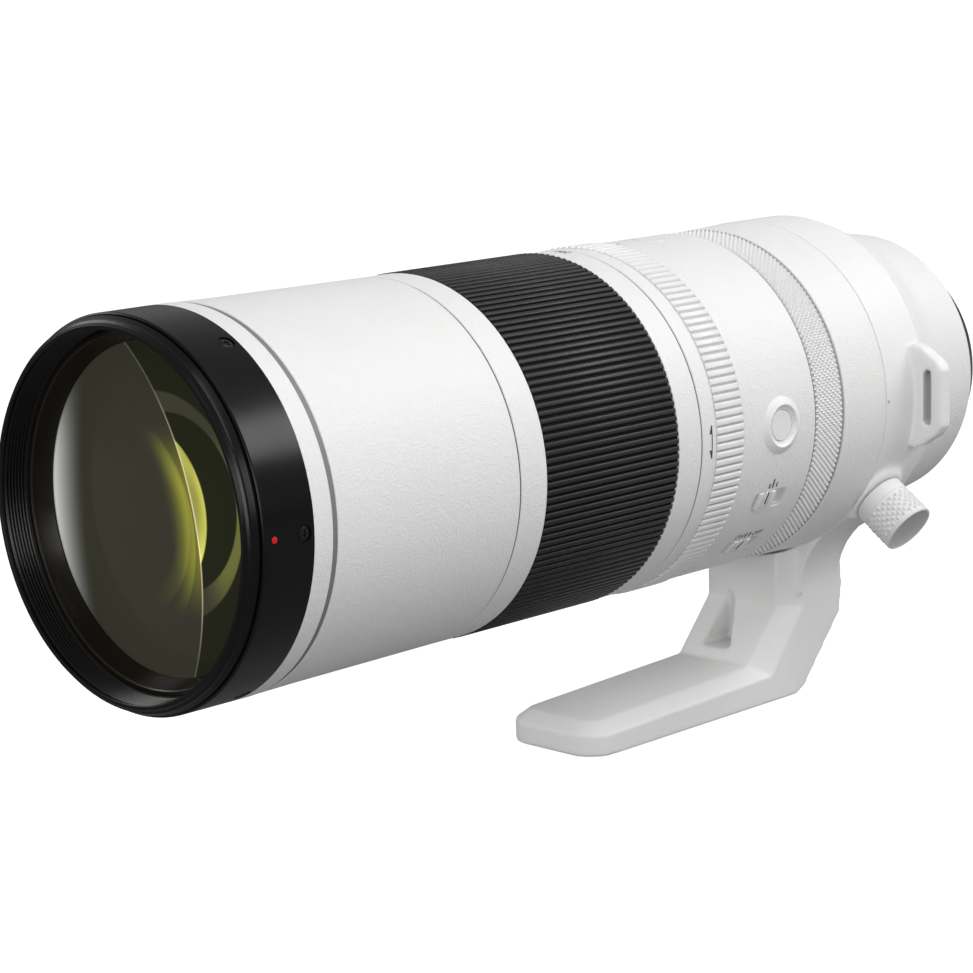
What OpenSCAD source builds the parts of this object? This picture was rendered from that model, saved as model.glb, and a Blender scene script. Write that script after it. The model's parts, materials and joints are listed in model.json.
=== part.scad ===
// Super telephoto zoom lens with a rotating tripod collar and foot, in millimetres.
// The optical axis is the Y axis. The mount's flange face lies at y = 0, the front looks along -Y,
// +Z is up and the foot hangs at -Z. Angles round the barrel run from +X towards +Z.

/* [Sections, from the mount forwards] */
// Length of the black ring round the mount
rear_ring_len = 11.5; // [11:0.1:13]
// Length of the white rear skirt
skirt_len = 36.9; // [36:0.1:40]
// Width of the tripod collar
collar_w = 20; // [19.5:0.1:23]
// Length of the smooth barrel ahead of the collar
rear_barrel_len = 19.2; // [18:0.1:24]
// Width of the control ring
control_w = 13.6; // [12:0.1:18]
// Length of the barrel that carries the buttons and switches
switch_w = 33; // [32:0.1:38]
// Width of the tension ring
tension_w = 17.8; // [16:0.1:20]
// Width of the zoom ring
zoom_w = 73; // [72:0.1:78]
// Length of the long front sleeve
sleeve_len = 65.6; // [64:0.1:70]
// Gap between the front sleeve and the band that slides out
travel_gap = 1; // [0.6:0.1:2]
// Width of the narrow white band
band_w = 6.2; // [5:0.1:8]
// Length of the black front ring
head_w = 20.2; // [20:0.1:24]

/* [Radii and walls] */
// Outer radius of the white barrel
body_r = 50.4; // [50.2:0.1:51]
// How far the tripod collar stands out from the white barrel
collar_step = 0.75; // [0.6:0.05:1.6]
// How far the black front ring stands out from the white barrel
head_step = 0.7; // [0.6:0.05:1.6]
// Depth from the barrel's surface to the fixed tube under the turning rings
ring_depth = 2.8; // [2.7:0.1:3.2]
// Wall of the fixed tube, the extension tube and the cam barrel
tube_wall = 1.4; // [1.3:0.1:1.5]
// Wall of the guide barrel
guide_wall = 1.5; // [1.4:0.1:1.8]
// Wall of the white shells
shell_wall = 1.6; // [1.4:0.1:2]
// Radial gap between parts that turn or slide
run_gap = 0.3; // [0.25:0.01:0.35]
// Radial gap between parts that are fixed together
fit_gap = 0.06; // [0.04:0.01:0.1]
// Gap between neighbouring rings along the axis
ring_gap = 0.25; // [0.2:0.05:0.4]

/* [Zoom ring and travel] */
// Thickness of the rubber grip
rubber_t = 1.4; // [1.2:0.1:1.5]
// Height of a rib of the rubber grip
rubber_rib_h = 0.7; // [0.4:0.1:0.8]
// Number of ribs round the rubber grip
rubber_rib_count = 150; // [120:2:180]
// Width of the white band ahead of the rubber grip
zoom_band_w = 10; // [8:0.1:12]
// Width of the white band behind the rubber grip
zoom_scale_w = 9.9; // [9:0.1:12]
// How far the front group slides out
zoom_out = 93; // [85:1:94]
// How far the zoom ring turns
zoom_turn = 130; // [110:5:135]
// How far the variator slides back
variator_travel = 28; // [20:1:30]
// Radius of the cam followers
follower_r = 1.5; // [1.2:0.1:1.8]
// Width of the tension ring's raised grip
tension_grip_w = 11.6; // [10:0.1:12]
// Height of the tension ring's raised grip
tension_grip_t = 0.4; // [0.3:0.1:0.6]

/* [Front ring] */
// Wall of the front ring outside the filter thread, which leaves 95 mm across the thread
filter_wall = 3.6; // [3.5:0.1:4]
// Depth of the filter thread
filter_depth = 8.4; // [6:0.1:9]
// How far the flat front lip lies inside the front ring's surface
lip_inset = 2.9; // [2.3:0.1:3.1]
// Length of the bevel behind the lip
lip_bevel = 3.2; // [2.5:0.1:4]
// Width of the hood groove behind the bevel
hood_groove_w = 0.8; // [0.5:0.1:1.5]
// Depth of the hood groove
hood_groove_t = 0.9; // [0.5:0.1:1.2]
// Ledge between the filter thread and the front glass
glass_ledge = 2.36; // [2:0.02:3]
// Width of the glass's edge that its retaining ring covers
glass_rim = 1.6; // [1.1:0.1:2.6]
// Curve radius of the front glass
glass_curve = 210; // [190:5:300]
// Head radius of the six small screws
ring_screw_r = 1.8; // [1.5:0.1:2]

/* [Tripod collar, leg and foot] */
// Height of the foot's underside below the axis
foot_z = 94.6; // [91:0.1:98]
// Half of the width of the foot and the leg
foot_half_w = 18; // [17:0.5:20]
// Width of the slanted edge along the foot's top and the leg's front
foot_edge_w = 4.5; // [3.5:0.1:5]
// Thickness of the foot next to the leg
foot_t = 12.2; // [11:0.1:13]
// Height of the foot's side walls at the toe
foot_side_h = 6.4; // [6:0.1:8]
// Length of the foot
foot_len = 93.7; // [85:0.1:99]
// Corner radius of the toe
toe_corner_r = 9; // [7:0.5:11]
// How far the strap lugs stand out from the collar
lug_out = 9.65; // [9:0.05:12]
// Half of the height of the strap slot
lug_slot_half_h = 8.3; // [7:0.1:8.5]
// Width of the strap slot
lug_slot_w = 2.4; // [2:0.1:3]
// Thickness of the strap lugs
lug_t = 5; // [4:0.1:6]
// Minor radius of the small tripod thread
small_thread_r = 2.55; // [2.5:0.05:2.6]
// Minor radius of the large tripod thread
large_thread_r = 3.97; // [3.9:0.01:4.1]

/* [Lock knob] */
// Place of the lock knob round the collar
knob_angle = -36; // [-40:1:-30]
// Radius of the lock knob
knob_r = 8.5; // [8:0.1:9]
// Height of the lock knob
knob_h = 14; // [12:0.5:16]
// Radius of the knob's screw
knob_screw_r = 2.5; // [2:0.1:3]

/* [Buttons and switches] */
// Radius of the function buttons
button_r = 4.9; // [4:0.1:5]
// Travel of the function buttons
button_travel = 0.6; // [0.4:0.1:0.7]
// Place of the side button round the barrel
side_button_angle = 0; // [-3:1:3]
// Place of the top button round the barrel
top_button_angle = 88; // [80:1:95]
// Place of the focus switch round the barrel
focus_switch_angle = -25.9; // [-28:0.1:-24]
// Place of the stabiliser switch round the barrel
stabiliser_switch_angle = -47.1; // [-50:0.1:-42]
// Length of a switch's window
switch_len = 14; // [13.6:0.1:15]
// Height of a switch's window
switch_h = 6.2; // [6:0.1:8]
// Length of a switch's slider
slider_len = 6; // [5:0.1:6]

/* [Mount] */
// Radius of the mount's flange
flange_r = 33; // [32:0.1:33.4]
// Radius of the bayonet's tube
bayonet_r = 25; // [24.5:0.1:25.2]
// Radius over the bayonet's claws
claw_r = 26.8; // [26.5:0.1:27]
// Length of the bayonet's tube
bayonet_len = 6.5; // [6:0.1:7]
// Inner radius of the bayonet's tube
throat_r = 23; // [22.5:0.1:23.2]
// Number of contact pins
pin_count = 12; // [8:1:12]

/* [Iris, stabiliser and focus group] */
// Inner radius of the open iris, as a share of the guide barrel's bore
iris_share = 0.38; // [0.34:0.01:0.39]
// Thickness of an iris blade
blade_t = 0.3; // [0.2:0.05:0.35]
// Radius of the stabiliser's glass, as a share of the guide barrel's bore
stabiliser_share = 0.39; // [0.34:0.01:0.4]
// Half of the stabiliser's play each way
stabiliser_play = 0.8; // [0.4:0.1:1]
// Space between the focus group's glass and the middle of its guide rods
focus_space = 12; // [11:0.5:16]
// Radius of the focus group's guide rods
rod_r = 1.5; // [1.2:0.1:2]
// Radius of the rear group's glass
rear_glass_r = 19.9; // [18:0.1:20]

/* [Hidden] */
$fn = 96;
// Overrun of every cut
over = 0.5;

// Stations: each is the rear face of its section, further forward is more negative
y_skirt = -rear_ring_len;
y_collar = y_skirt - skirt_len;
y_rear = y_collar - collar_w;
y_control = y_rear - rear_barrel_len;
y_switch = y_control - control_w;
y_tension = y_switch - switch_w;
y_zoom = y_tension - tension_w;
y_sleeve = y_zoom - zoom_w;
y_sleeve_front = y_sleeve - sleeve_len;
y_band = y_sleeve_front - travel_gap;
y_head = y_band - band_w;
y_front = y_head - head_w;
half_gap = ring_gap / 2;

// The nest of tubes, from the outside in
collar_r = body_r + collar_step;
head_r = body_r + head_step;
main_r = body_r - ring_depth;
main_in_r = main_r - tube_wall;
ext_r = main_in_r - run_gap;
ext_in_r = ext_r - tube_wall;
cam_r = ext_in_r - run_gap;
cam_in_r = cam_r - tube_wall;
guide_r = cam_in_r - run_gap;
guide_in_r = guide_r - guide_wall;
cell_r = guide_in_r - run_gap;
turning_in_r = main_r + run_gap;
main_seat_r = main_r + fit_gap;
main_lap = 10;
y_main_front = y_sleeve - main_lap;
y_main_rear = y_control + main_lap;
ext_setback = 14;
y_ext_rear = y_zoom - ext_setback;
cam_setback = 22;
y_cam_front = y_sleeve_front + cam_setback;
y_cam_rear = y_tension - half_gap;
y_guide_rear = y_control;
guide_foot_w = 9;

// The key that turns the cam barrel with the zoom ring
key_w = 4;
key_h = 8;
key_bite = 0.8;
key_spare = 0.3;
rubber_len = zoom_w - zoom_band_w - zoom_scale_w;
rubber_rib_share = 0.69;
y_key = y_zoom - key_w;
key_slot_spare = 8;

// Cam grooves and followers
groove_t = 0.6;
follower_spare = 0.35;
follower_count = 3;
follower_tip = 0.25;
groove_steps = 16;
follower_inset = 4;
y_tube_follower = y_ext_rear - follower_inset;
variator_first = 30;

// Front group
thread_t = 0.54;
thread_r = head_r - filter_wall - thread_t;
lip_r = head_r - lip_inset;
glass_r = thread_r - glass_ledge;
clear_r = glass_r - glass_rim;
retainer_len = 5.4;
retainer_step = 0.6;
retainer_r = thread_r - retainer_step;
retainer_funnel = 2.2;
glass_step = 0.3;
glass_drop = 0.6;
cell_flange_t = 1.6;
y_retainer = y_front + filter_depth;
y_glass_step = y_retainer + retainer_len;
y_glass_rear = y_head - cell_flange_t;
y_glass_edge = y_glass_step + glass_step + glass_drop;
glass_bulge = glass_curve - sqrt(glass_curve * glass_curve - glass_r * glass_r);
cell_len = 15;
cell_shell = 3.9;
cell_seat_w = 0.15;
doublet_seat_w = 2;
doublet_r = ext_in_r - cell_shell;
doublet_in_r = doublet_r - doublet_seat_w;
doublet_edge = 3;
doublet_bulge = 3;
front_cell_in_r = doublet_r + fit_gap;
seal_len = 5;
ring_screw_inset = 3.2;
ring_screw_head_t = 0.9;
ring_screw_shank_r = 0.8;
ring_screw_len = 3.5;
cross_w = 0.4;
cross_t = 0.5;
y_ring_screw = y_head - ring_screw_inset;
ring_screw_count = 6;

// Variator group
variator_len = 16;
variator_start = 6;
variator_wall = 2.7;
y_variator = y_cam_front + variator_start + variator_len;
y_variator_follower = y_variator - variator_len / 2;
variator_edge = 2.5;
variator_bulge = 1.6;

// Iris: the blades are stacked from the front plate backwards
iris_space = 13;
iris_r = guide_in_r * iris_share;
y_iris_front = y_variator + variator_travel + iris_space;
blade_count = 9;
iris_plate_t = 2;
blade_pitch = 0.45;
blade_gap = 0.15;
blade_w = 4.4;
blade_angle = 100;
blade_tail_angle = 5;
blade_arm = 4;
blade_pivot_r = iris_r + blade_w + blade_arm;
blade_ear_r = 1.8;
blade_pin_r = 0.7;
blade_pin_bite = 1.2;
pin_gap = 0.08;
iris_plate_lip = 0.45;
iris_plate_in_r = iris_r - iris_plate_lip;
iris_case_space = 5;
iris_case_r = blade_pivot_r + iris_case_space;
iris_case_wall = 1.7;
iris_ring_t = 1.6;
iris_ring_in_r = iris_r + 2 * blade_pin_r;
y_blades = y_iris_front + iris_plate_t + blade_gap;
y_iris_ring = y_blades + blade_count * blade_pitch;
y_iris_rear = y_iris_ring + iris_ring_t + blade_gap;

// Stabiliser: a fixed base, a frame that moves up and down, a cell that moves sideways on it
base_t = 4;
base_lip = 1;
layer_gap = 0.3;
frame_w_share = 0.68;
frame_h_share = 0.58;
cell_w_share = 0.535;
cell_h_share = 0.485;
rail_share = 0.29;
base_in_r = iris_r + base_lip;
stabiliser_glass_r = guide_in_r * stabiliser_share;
frame_half_w = guide_in_r * frame_w_share;
frame_half_h = guide_in_r * frame_h_share;
frame_t = 2.2;
rail_t = 2.7;
rail_half_len = guide_in_r * rail_share;
rail_h = 3.2;
cell_half_w = guide_in_r * cell_w_share;
cell_half_h = guide_in_r * cell_h_share;
cell_plate_t = 2.2;
cell_tube_t = 1.5;
cell_tube_len = 7;
y_base_rear = y_iris_rear + base_t;
y_frame = y_base_rear + layer_gap;
y_frame_rear = y_frame + frame_t;
y_cell = y_frame_rear + layer_gap;
stabiliser_edge = 3;
stabiliser_bulge = 1;

// Bulkhead, guide rods and focus group
bulkhead_at = 10.4;
bulkhead_y = y_rear + bulkhead_at;
bulkhead_t = 4;
rod_inset = 5;
rod_at_r = guide_in_r - rod_inset;
focus_glass_r = rod_at_r - focus_space;
rod_angle = 60;
rod_bite = 1.5;
rod_spare = 0.1;
focus_len = 10;
focus_wall = 4;
focus_at = 27.4;
y_focus = y_control - focus_at;
focus_edge = 3;
focus_bulge = 1;
ear_w = 7;
ear_wall = 2.3;
ear_out_r = rod_at_r + rod_r + ear_wall;
motor_angle = 150;
motor_len = 88;
motor_t = 4;
motor_w = 8;

// Rear group
rear_wall = 4.1;
rear_flange_w = 4;
rear_flange_t = 2;
rear_cell_front = 14;
rear_cell_clear = 9;
rear_edge = 4;
rear_bulge = 1.5;
rear_cell_r = rear_glass_r + fit_gap + rear_wall;
y_rear_cell = -rear_cell_clear;
y_rear_cell_front = bulkhead_y - rear_cell_front;

// Collar bearing and skirt
collar_wall = 4.9;
collar_in_r = collar_r - collar_wall;
sleeve_r = collar_in_r - run_gap;
sleeve_wall = 2;
sleeve_in_r = sleeve_r - sleeve_wall;
sleeve_tail = 6;
sleeve_seat = 7;
neck_len = 22.5;
neck_step = 6.15;
skirt_step = 8.7;
neck_r = collar_r - neck_step;
skirt_r = flange_r + skirt_step;
skirt_wall = 2;
y_neck = y_skirt - neck_len;
y_sleeve_tail = y_collar + sleeve_tail;

// Mount
ring_front_step = 0.9;
ring_tip_step = 1.4;
ring_front_r = skirt_r - ring_front_step;
ring_tip_r = flange_r + ring_tip_step;
ring_step = 1.2;
ring_wall = 3.5;
flange_t = 3;
flange_seat_w = 6.6;
shoulder_len = 4;
claw_t = 1.8;
claw_at = 3.4;
claw_angle = 52;
claw_first_angle = 12;
claw_count = 3;
mount_screw_r = 1.6;
mount_screw_shank_r = 0.8;
mount_screw_len = 5.5;
mount_screw_head_t = 1;
mount_screw_inset = 3.6;
mount_screw_at_r = flange_r - mount_screw_inset;
mount_screw_first_angle = 45;
mount_screw_count = 4;
bottom_angle = -90;
top_angle = 90;
contact_angle = 64;
contact_t = 2.4;
contact_front = 1;
contact_len = 5.5;
pin_r = 0.45;
pin_step_angle = 5;
pin_proud = 0.7;
pin_len = 4;
board_t = 1.6;
board_clear = 2.9;
board_gap = 1.8;
board_in_r = rear_cell_r + board_clear;
board_r = ring_front_r - board_gap;
board_angle = 300;
chip_angles = [0, 50, 110, 180];
chip_t = 1.2;
chip_w = 7;

// Switches and buttons
window_depth = 1.75;
plate_sink = 0.45;
plate_rim = 0.6;
slider_gap = 0.15;
slider_h = 4.4;
slider_proud = 0.45;
focus_window_at = 16;
stabiliser_window_at = 16;
focus_slider_shift = -1.6;
stabiliser_slider_shift = -0.8;
button_at = 16;
button_gap = 0.15;
button_flange_w = 0.7;
button_flange_t = 0.6;
button_hole_lip = 1.1;
side_button_proud = 0.35;
top_button_proud = 0.45;
bezel_rise = 1.2;
bezel_sink = 0.8;
bezel_flare = 3;
bezel_lip = 0.7;

// Collar casting
clear_r_gap = 0.35;
swing_r = collar_r + clear_r_gap;
leg_bite = 0.8;
leg_drop = 12;
leg_kink_h = 22.6;
leg_top_z = collar_in_r - leg_bite;
leg_back = 1.7;
leg_heel_z = collar_r + leg_drop;
leg_kink_z = foot_z - leg_kink_h;
leg_kink_back = 0.5;
heel_back = 21.6;
heel_slope_w = 4;
heel_slope_h = 2;
heel_y = heel_back - y_collar;
heel_slope_y = heel_y - heel_slope_w;
toe_y = heel_y + foot_len;
leg_side_front = 17.5;
leg_core_front = 25.8;
leg_core_foot = 40;
leg_side_foot = 33.6;
cheek_h = 28.1;
pocket_h = 32.6;
pocket_floor_h = 15.1;
pocket_back = 24.2;
cheek_z = foot_z - cheek_h;
pocket_z = foot_z - pocket_h;
pocket_floor_z = foot_z - pocket_floor_h;
pocket_left_w = 6.7;
pocket_right_w = 4;
pocket_apex_in = 1;
foot_rise = 2.4;
pocket_back_y = pocket_back - y_collar;
saddle_r = (foot_half_w * foot_half_w + leg_heel_z * leg_heel_z - collar_r * collar_r)
    / (2 * (collar_r - foot_half_w));
lug_at = 3.6;
lug_root = 1.15;
lug_elbow = 2.2;
lug_slot_at = 3.25;
lug_y = lug_at - y_collar;
lug_x = collar_r + lug_out;
lug_flat = 8.6;
lug_step_x = 1.6;
lug_step_z = 11;
lug_root_x = collar_r - lug_root;
lug_root_z = 16;
lug_elbow_x = collar_r + lug_elbow;
lug_elbow_z = 14.9;
lug_slot_x = collar_r + lug_slot_at;
boss_r = 9.5;
boss_h = 1.35;
boss_flare = 2;
knob_at = 12.6;
y_knob = y_collar - knob_at;
knob_gap = 0.3;
knob_base_h = 3.9;
knob_base_in = 0.3;
knob_rim_h = 0.6;
knob_rim_in = 0.5;
knob_dish = 1.2;
knob_screw_gap = 0.1;
knob_screw_end = collar_in_r + fit_gap;

// Foot plate, inserts and screws
plate_at = 19.2;
plate_len = 36.4;
plate_rear_y = heel_y + plate_at;
plate_front_y = plate_rear_y + plate_len;
plate_half_w = 12;
plate_t = 3;
insert_h = 8;
small_insert_r = 5;
large_insert_r = 6.5;
large_insert_at = 10.3;
insert_pitch = 16;
large_insert_y = plate_rear_y + large_insert_at;
small_insert_y = large_insert_y + insert_pitch;
foot_screw_r = 1.7;
foot_screw_shank_r = 1;
foot_screw_head_t = 1;
foot_screw_len = 7;
foot_screw_x = 9;
foot_screw_inset = 3;

// A solid of revolution about the optical axis, from [y, radius] points
module turned(points) {
    rotate([-90, 0, 0]) rotate_extrude() polygon([for (p = points) [p[1], p[0]]]);
}

// A plain ring from y0 forwards-most to y1 rear-most
module ring(y0, y1, r_in, r_out) {
    turned([[y0, r_in], [y0, r_out], [y1, r_out], [y1, r_in]]);
}

// A solid disc
module disc(y0, y1, r) {
    turned([[y0, 0], [y0, r], [y1, r], [y1, 0]]);
}

// Part of a ring, between two angles
module sector(y0, y1, r_in, r_out, a0, a1) {
    rotate([-90, 0, 0]) rotate([0, 0, -a1]) rotate_extrude(angle = a1 - a0)
        polygon([[r_in, y0], [r_out, y0], [r_out, y1], [r_in, y1]]);
}

// Turns what is drawn along +X to its place round the barrel
module round_at(angle) {
    rotate([0, -angle, 0]) children();
}

// A cylinder along the optical axis
module pin_y(x, y0, y1, z, r) {
    translate([x, y1, z]) rotate([90, 0, 0]) cylinder(r = r, h = y1 - y0, $fn = 48);
}

// A cylinder that points outwards along +X, at station y
module peg(y, x0, x1, r) {
    translate([x0, y, 0]) rotate([0, 90, 0]) cylinder(r = r, h = x1 - x0, $fn = 48);
}

// A cone that points outwards along +X
module cone_peg(y, x0, x1, r0, r1) {
    translate([x0, y, 0]) rotate([0, 90, 0]) cylinder(r1 = r0, r2 = r1, h = x1 - x0, $fn = 48);
}

// A block centred on station y and on z, from x0 to x1
module block_x(x0, x1, y, len, h) {
    translate([x0, y - len / 2, -h / 2]) cube([x1 - x0, len, h]);
}

// A plate square to the optical axis, from a flat outline in x and z
module plate(y0, y1) {
    translate([0, y1, 0]) rotate([90, 0, 0]) linear_extrude(y1 - y0) children();
}

// A slab square to X, from [y, z] points
module slab(points, half_w) {
    translate([-half_w, 0, 0]) rotate([90, 0, 90]) linear_extrude(2 * half_w) polygon(points);
}

// The y of a curved glass face: bulge is how far its middle stands from its edge
function face_y(edge_y, bulge, share) = edge_y + bulge * (1 - share * share);

// A glass element between two edge stations, with its faces' bulges along y
module glass(y0, y1, r, bulge0, bulge1) {
    shares = [for (i = [0:10]) i / 10];
    turned(concat([for (s = shares) [face_y(y0, bulge0, s), s * r]],
        [for (s = [for (i = [10:-1:0]) i / 10]) [face_y(y1, bulge1, s), s * r]]));
}

// A countersunk screw along +X, its head flush at x1
module screw_x(y, x1, head_r, head_t, shank_r, len, cross) {
    difference() {
        union() {
            cone_peg(y, x1 - head_t, x1, shank_r, head_r);
            peg(y, x1 - len, x1 - head_t, shank_r);
        }
        if (cross) {
            block_x(x1 - cross_t, x1 + over, y, head_r, cross_w);
            block_x(x1 - cross_t, x1 + over, y, cross_w, head_r);
        }
    }
}

// The hole for such a screw
module screw_hole_x(y, x1, head_r, head_t, shank_r, len) {
    cone_peg(y, x1 - head_t - fit_gap, x1 + fit_gap, shank_r + fit_gap, head_r + fit_gap);
    peg(y, x1 - len - fit_gap, x1, shank_r + fit_gap);
    peg(y, x1, x1 + 2 * over, head_r + fit_gap);
}

module mount_flange() color("silver") difference() {
    union() {
        ring(-flange_t, 0, throat_r, flange_r);
        ring(-over, bayonet_len, throat_r, bayonet_r);
        for (i = [0:claw_count - 1])
            sector(claw_at, claw_at + claw_t, bayonet_r - over, claw_r,
                i * 360 / claw_count + claw_first_angle,
                i * 360 / claw_count + claw_first_angle + claw_angle);
    }
    for (i = [0:mount_screw_count - 1]) round_at(mount_screw_first_angle + i * 360 / mount_screw_count)
        mount_screw_shape(mount_screw_r + fit_gap, mount_screw_shank_r + fit_gap, over);
}

// One mount screw, its head at the flange face
module mount_screw_shape(head_r, shank_r, extra) {
    translate([mount_screw_at_r, -mount_screw_head_t, 0]) rotate([-90, 0, 0])
        cylinder(r1 = shank_r, r2 = head_r, h = mount_screw_head_t, $fn = 48);
    translate([mount_screw_at_r, -mount_screw_len - extra, 0]) rotate([-90, 0, 0])
        cylinder(r = shank_r, h = mount_screw_len + extra - mount_screw_head_t, $fn = 48);
}

module mount_screws() color("dimgray")
    for (i = [0:mount_screw_count - 1]) round_at(mount_screw_first_angle + i * 360 / mount_screw_count)
        difference() {
            mount_screw_shape(mount_screw_r, mount_screw_shank_r, 0);
            translate([mount_screw_at_r - mount_screw_r / 2, -cross_t, -cross_w / 2])
                cube([mount_screw_r, cross_t + over, cross_w]);
            translate([mount_screw_at_r - cross_w / 2, -cross_t, -mount_screw_r / 2])
                cube([cross_w, cross_t + over, mount_screw_r]);
        }

module contact_pin_places()
    for (i = [0:pin_count - 1])
        round_at(bottom_angle - (i - (pin_count - 1) / 2) * pin_step_angle)
            translate([throat_r - fit_gap - contact_t / 2, 0, 0]) children();

module contact_block() color("black") difference() {
    sector(-contact_front, contact_len, throat_r - fit_gap - contact_t, throat_r - fit_gap,
        bottom_angle - contact_angle / 2, bottom_angle + contact_angle / 2);
    contact_pin_places() pin_y(0, contact_len - pin_len, contact_len + over, 0, pin_r + pin_gap);
}

module contact_pins() color("gold") contact_pin_places()
    pin_y(0, contact_len - pin_len, contact_len + pin_proud, 0, pin_r);

module rear_ring() color("black") difference() {
    turned([[y_skirt, ring_front_r - ring_wall], [y_skirt, ring_front_r + fit_gap],
        [y_skirt + ring_step, ring_front_r - ring_step / 2], [0, ring_tip_r],
        [0, flange_r + fit_gap], [-flange_t, flange_r + fit_gap],
        [-flange_t, flange_r - flange_seat_w], [-flange_t - shoulder_len, flange_r - flange_seat_w],
        [-flange_t - shoulder_len, ring_front_r - ring_wall]]);
    for (i = [0:mount_screw_count - 1]) round_at(mount_screw_first_angle + i * 360 / mount_screw_count)
        mount_screw_shape(mount_screw_r, mount_screw_shank_r + fit_gap, fit_gap);
}

module rear_skirt() color("whitesmoke")
    turned([[y_collar, sleeve_r + fit_gap], [y_collar, collar_r - fit_gap], [y_neck, neck_r],
        [y_skirt, skirt_r], [y_skirt, skirt_r - skirt_wall], [y_neck, neck_r - skirt_wall],
        [y_sleeve_tail, neck_r - skirt_wall], [y_sleeve_tail, sleeve_r + fit_gap]]);

// The sleeve that the collar turns on, with the bulkhead, in one casting
module bearing_sleeve() color("silver") difference() {
    turned([[y_rear - sleeve_seat + fit_gap, sleeve_in_r], [y_rear - sleeve_seat + fit_gap, sleeve_r],
        [y_sleeve_tail, sleeve_r], [y_sleeve_tail, sleeve_in_r], [bulkhead_y, sleeve_in_r],
        [bulkhead_y, rear_cell_r + fit_gap], [bulkhead_y - bulkhead_t, rear_cell_r + fit_gap],
        [bulkhead_y - bulkhead_t, sleeve_in_r]]);
    for (a = [rod_angle, rod_angle + 180]) round_at(a)
        pin_y(rod_at_r, bulkhead_y - bulkhead_t - over, bulkhead_y - bulkhead_t + rod_bite, 0,
            rod_r + fit_gap);
}

module rear_barrel() color("whitesmoke")
    turned([[y_control + half_gap, main_seat_r], [y_control + half_gap, body_r - fit_gap],
        [y_rear, collar_r - fit_gap], [y_rear, sleeve_r + fit_gap],
        [y_rear - sleeve_seat, sleeve_r + fit_gap], [y_rear - sleeve_seat, sleeve_in_r],
        [y_main_rear, sleeve_in_r], [y_main_rear, main_seat_r]]);

module main_board() color("green") union() {
    sector(y_skirt - board_t, y_skirt, board_in_r, board_r, top_angle - board_angle / 2,
        top_angle + board_angle / 2);
    for (a = chip_angles) round_at(a)
        translate([(board_in_r + board_r - chip_w) / 2, y_skirt - board_t - chip_t, -chip_w / 2])
            cube([chip_w, chip_t + board_t / 2, chip_w]);
}

module rear_cell() color("black") union() {
    turned([[y_rear_cell_front, rear_glass_r - rear_bulge],
        [y_rear_cell_front, rear_cell_r], [y_rear_cell, rear_cell_r],
        [y_rear_cell, rear_glass_r + fit_gap],
        [y_rear_cell_front + rear_bulge, rear_glass_r + fit_gap],
        [y_rear_cell_front + rear_bulge, rear_glass_r - rear_bulge]]);
    ring(bulkhead_y, bulkhead_y + rear_flange_t, rear_cell_r - rear_wall / 2,
        rear_cell_r + rear_flange_w);
}

module rear_elements() color("lightblue", 0.5) {
    glass(y_rear_cell_front + rear_bulge, y_rear_cell_front + rear_bulge + rear_edge,
        rear_glass_r, rear_bulge, rear_bulge);
    glass(y_rear_cell - 2 * rear_edge, y_rear_cell - rear_edge, rear_glass_r, rear_bulge,
        rear_bulge);
}

module main_barrel() color("gray") difference() {
    ring(y_main_front, y_main_rear, main_in_r, main_r);
    sector(y_key - key_w / 2 - key_spare, y_key + key_w / 2 + key_spare, main_in_r - over,
        main_r + over, -zoom_turn - key_slot_spare, key_slot_spare);
}

// A switch's window, centred on the station y
module window(y, depth, spare) {
    block_x(body_r - depth, body_r + over, y, switch_len - 2 * spare, switch_h - 2 * spare);
}

module button_hole(y) {
    peg(y, main_r - over, body_r + 2 * bezel_rise, button_r + button_gap);
    peg(y, main_r - over, body_r - button_hole_lip, button_r + button_flange_w + button_gap);
}

module switch_barrel() color("whitesmoke") difference() {
    union() {
        ring(y_tension + half_gap, y_switch - half_gap, main_seat_r, body_r);
        round_at(side_button_angle) cone_peg(y_switch - button_at, body_r - bezel_sink,
            body_r + bezel_rise, button_r + bezel_lip + bezel_flare, button_r + bezel_lip);
    }
    round_at(side_button_angle) button_hole(y_switch - button_at);
    round_at(top_button_angle) button_hole(y_switch - button_at);
    round_at(focus_switch_angle) window(y_switch - focus_window_at, window_depth, 0);
    round_at(stabiliser_switch_angle) window(y_switch - stabiliser_window_at, window_depth, 0);
}

module switch_plate(y) difference() {
    block_x(body_r - window_depth, body_r - plate_sink, y, switch_len - 2 * fit_gap,
        switch_h - 2 * fit_gap);
    block_x(body_r - window_depth + plate_rim, body_r, y, switch_len - 2 * plate_rim,
        slider_h + 2 * slider_gap);
}

module switch_plates() color("dimgray") {
    round_at(focus_switch_angle) switch_plate(y_switch - focus_window_at);
    round_at(stabiliser_switch_angle) switch_plate(y_switch - stabiliser_window_at);
}

module slider(y) {
    block_x(body_r - window_depth + plate_rim + slider_gap, body_r + slider_proud, y, slider_len,
        slider_h);
}

module focus_switch() color("dimgray")
    round_at(focus_switch_angle) slider(y_switch - focus_window_at + focus_slider_shift);

module stabiliser_switch() color("dimgray")
    round_at(stabiliser_switch_angle)
        slider(y_switch - stabiliser_window_at + stabiliser_slider_shift);

module button(y, proud) {
    bottom = main_r + button_travel + button_gap;
    peg(y, bottom, body_r + proud, button_r);
    peg(y, bottom, bottom + button_flange_t, button_r + button_flange_w);
}

module side_button() color("dimgray")
    round_at(side_button_angle) button(y_switch - button_at, side_button_proud);

module top_button() color("dimgray")
    round_at(top_button_angle) button(y_switch - button_at, top_button_proud);

module control_ring() color("whitesmoke")
    ring(y_switch + half_gap, y_control - half_gap, turning_in_r, body_r - fit_gap);

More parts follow.
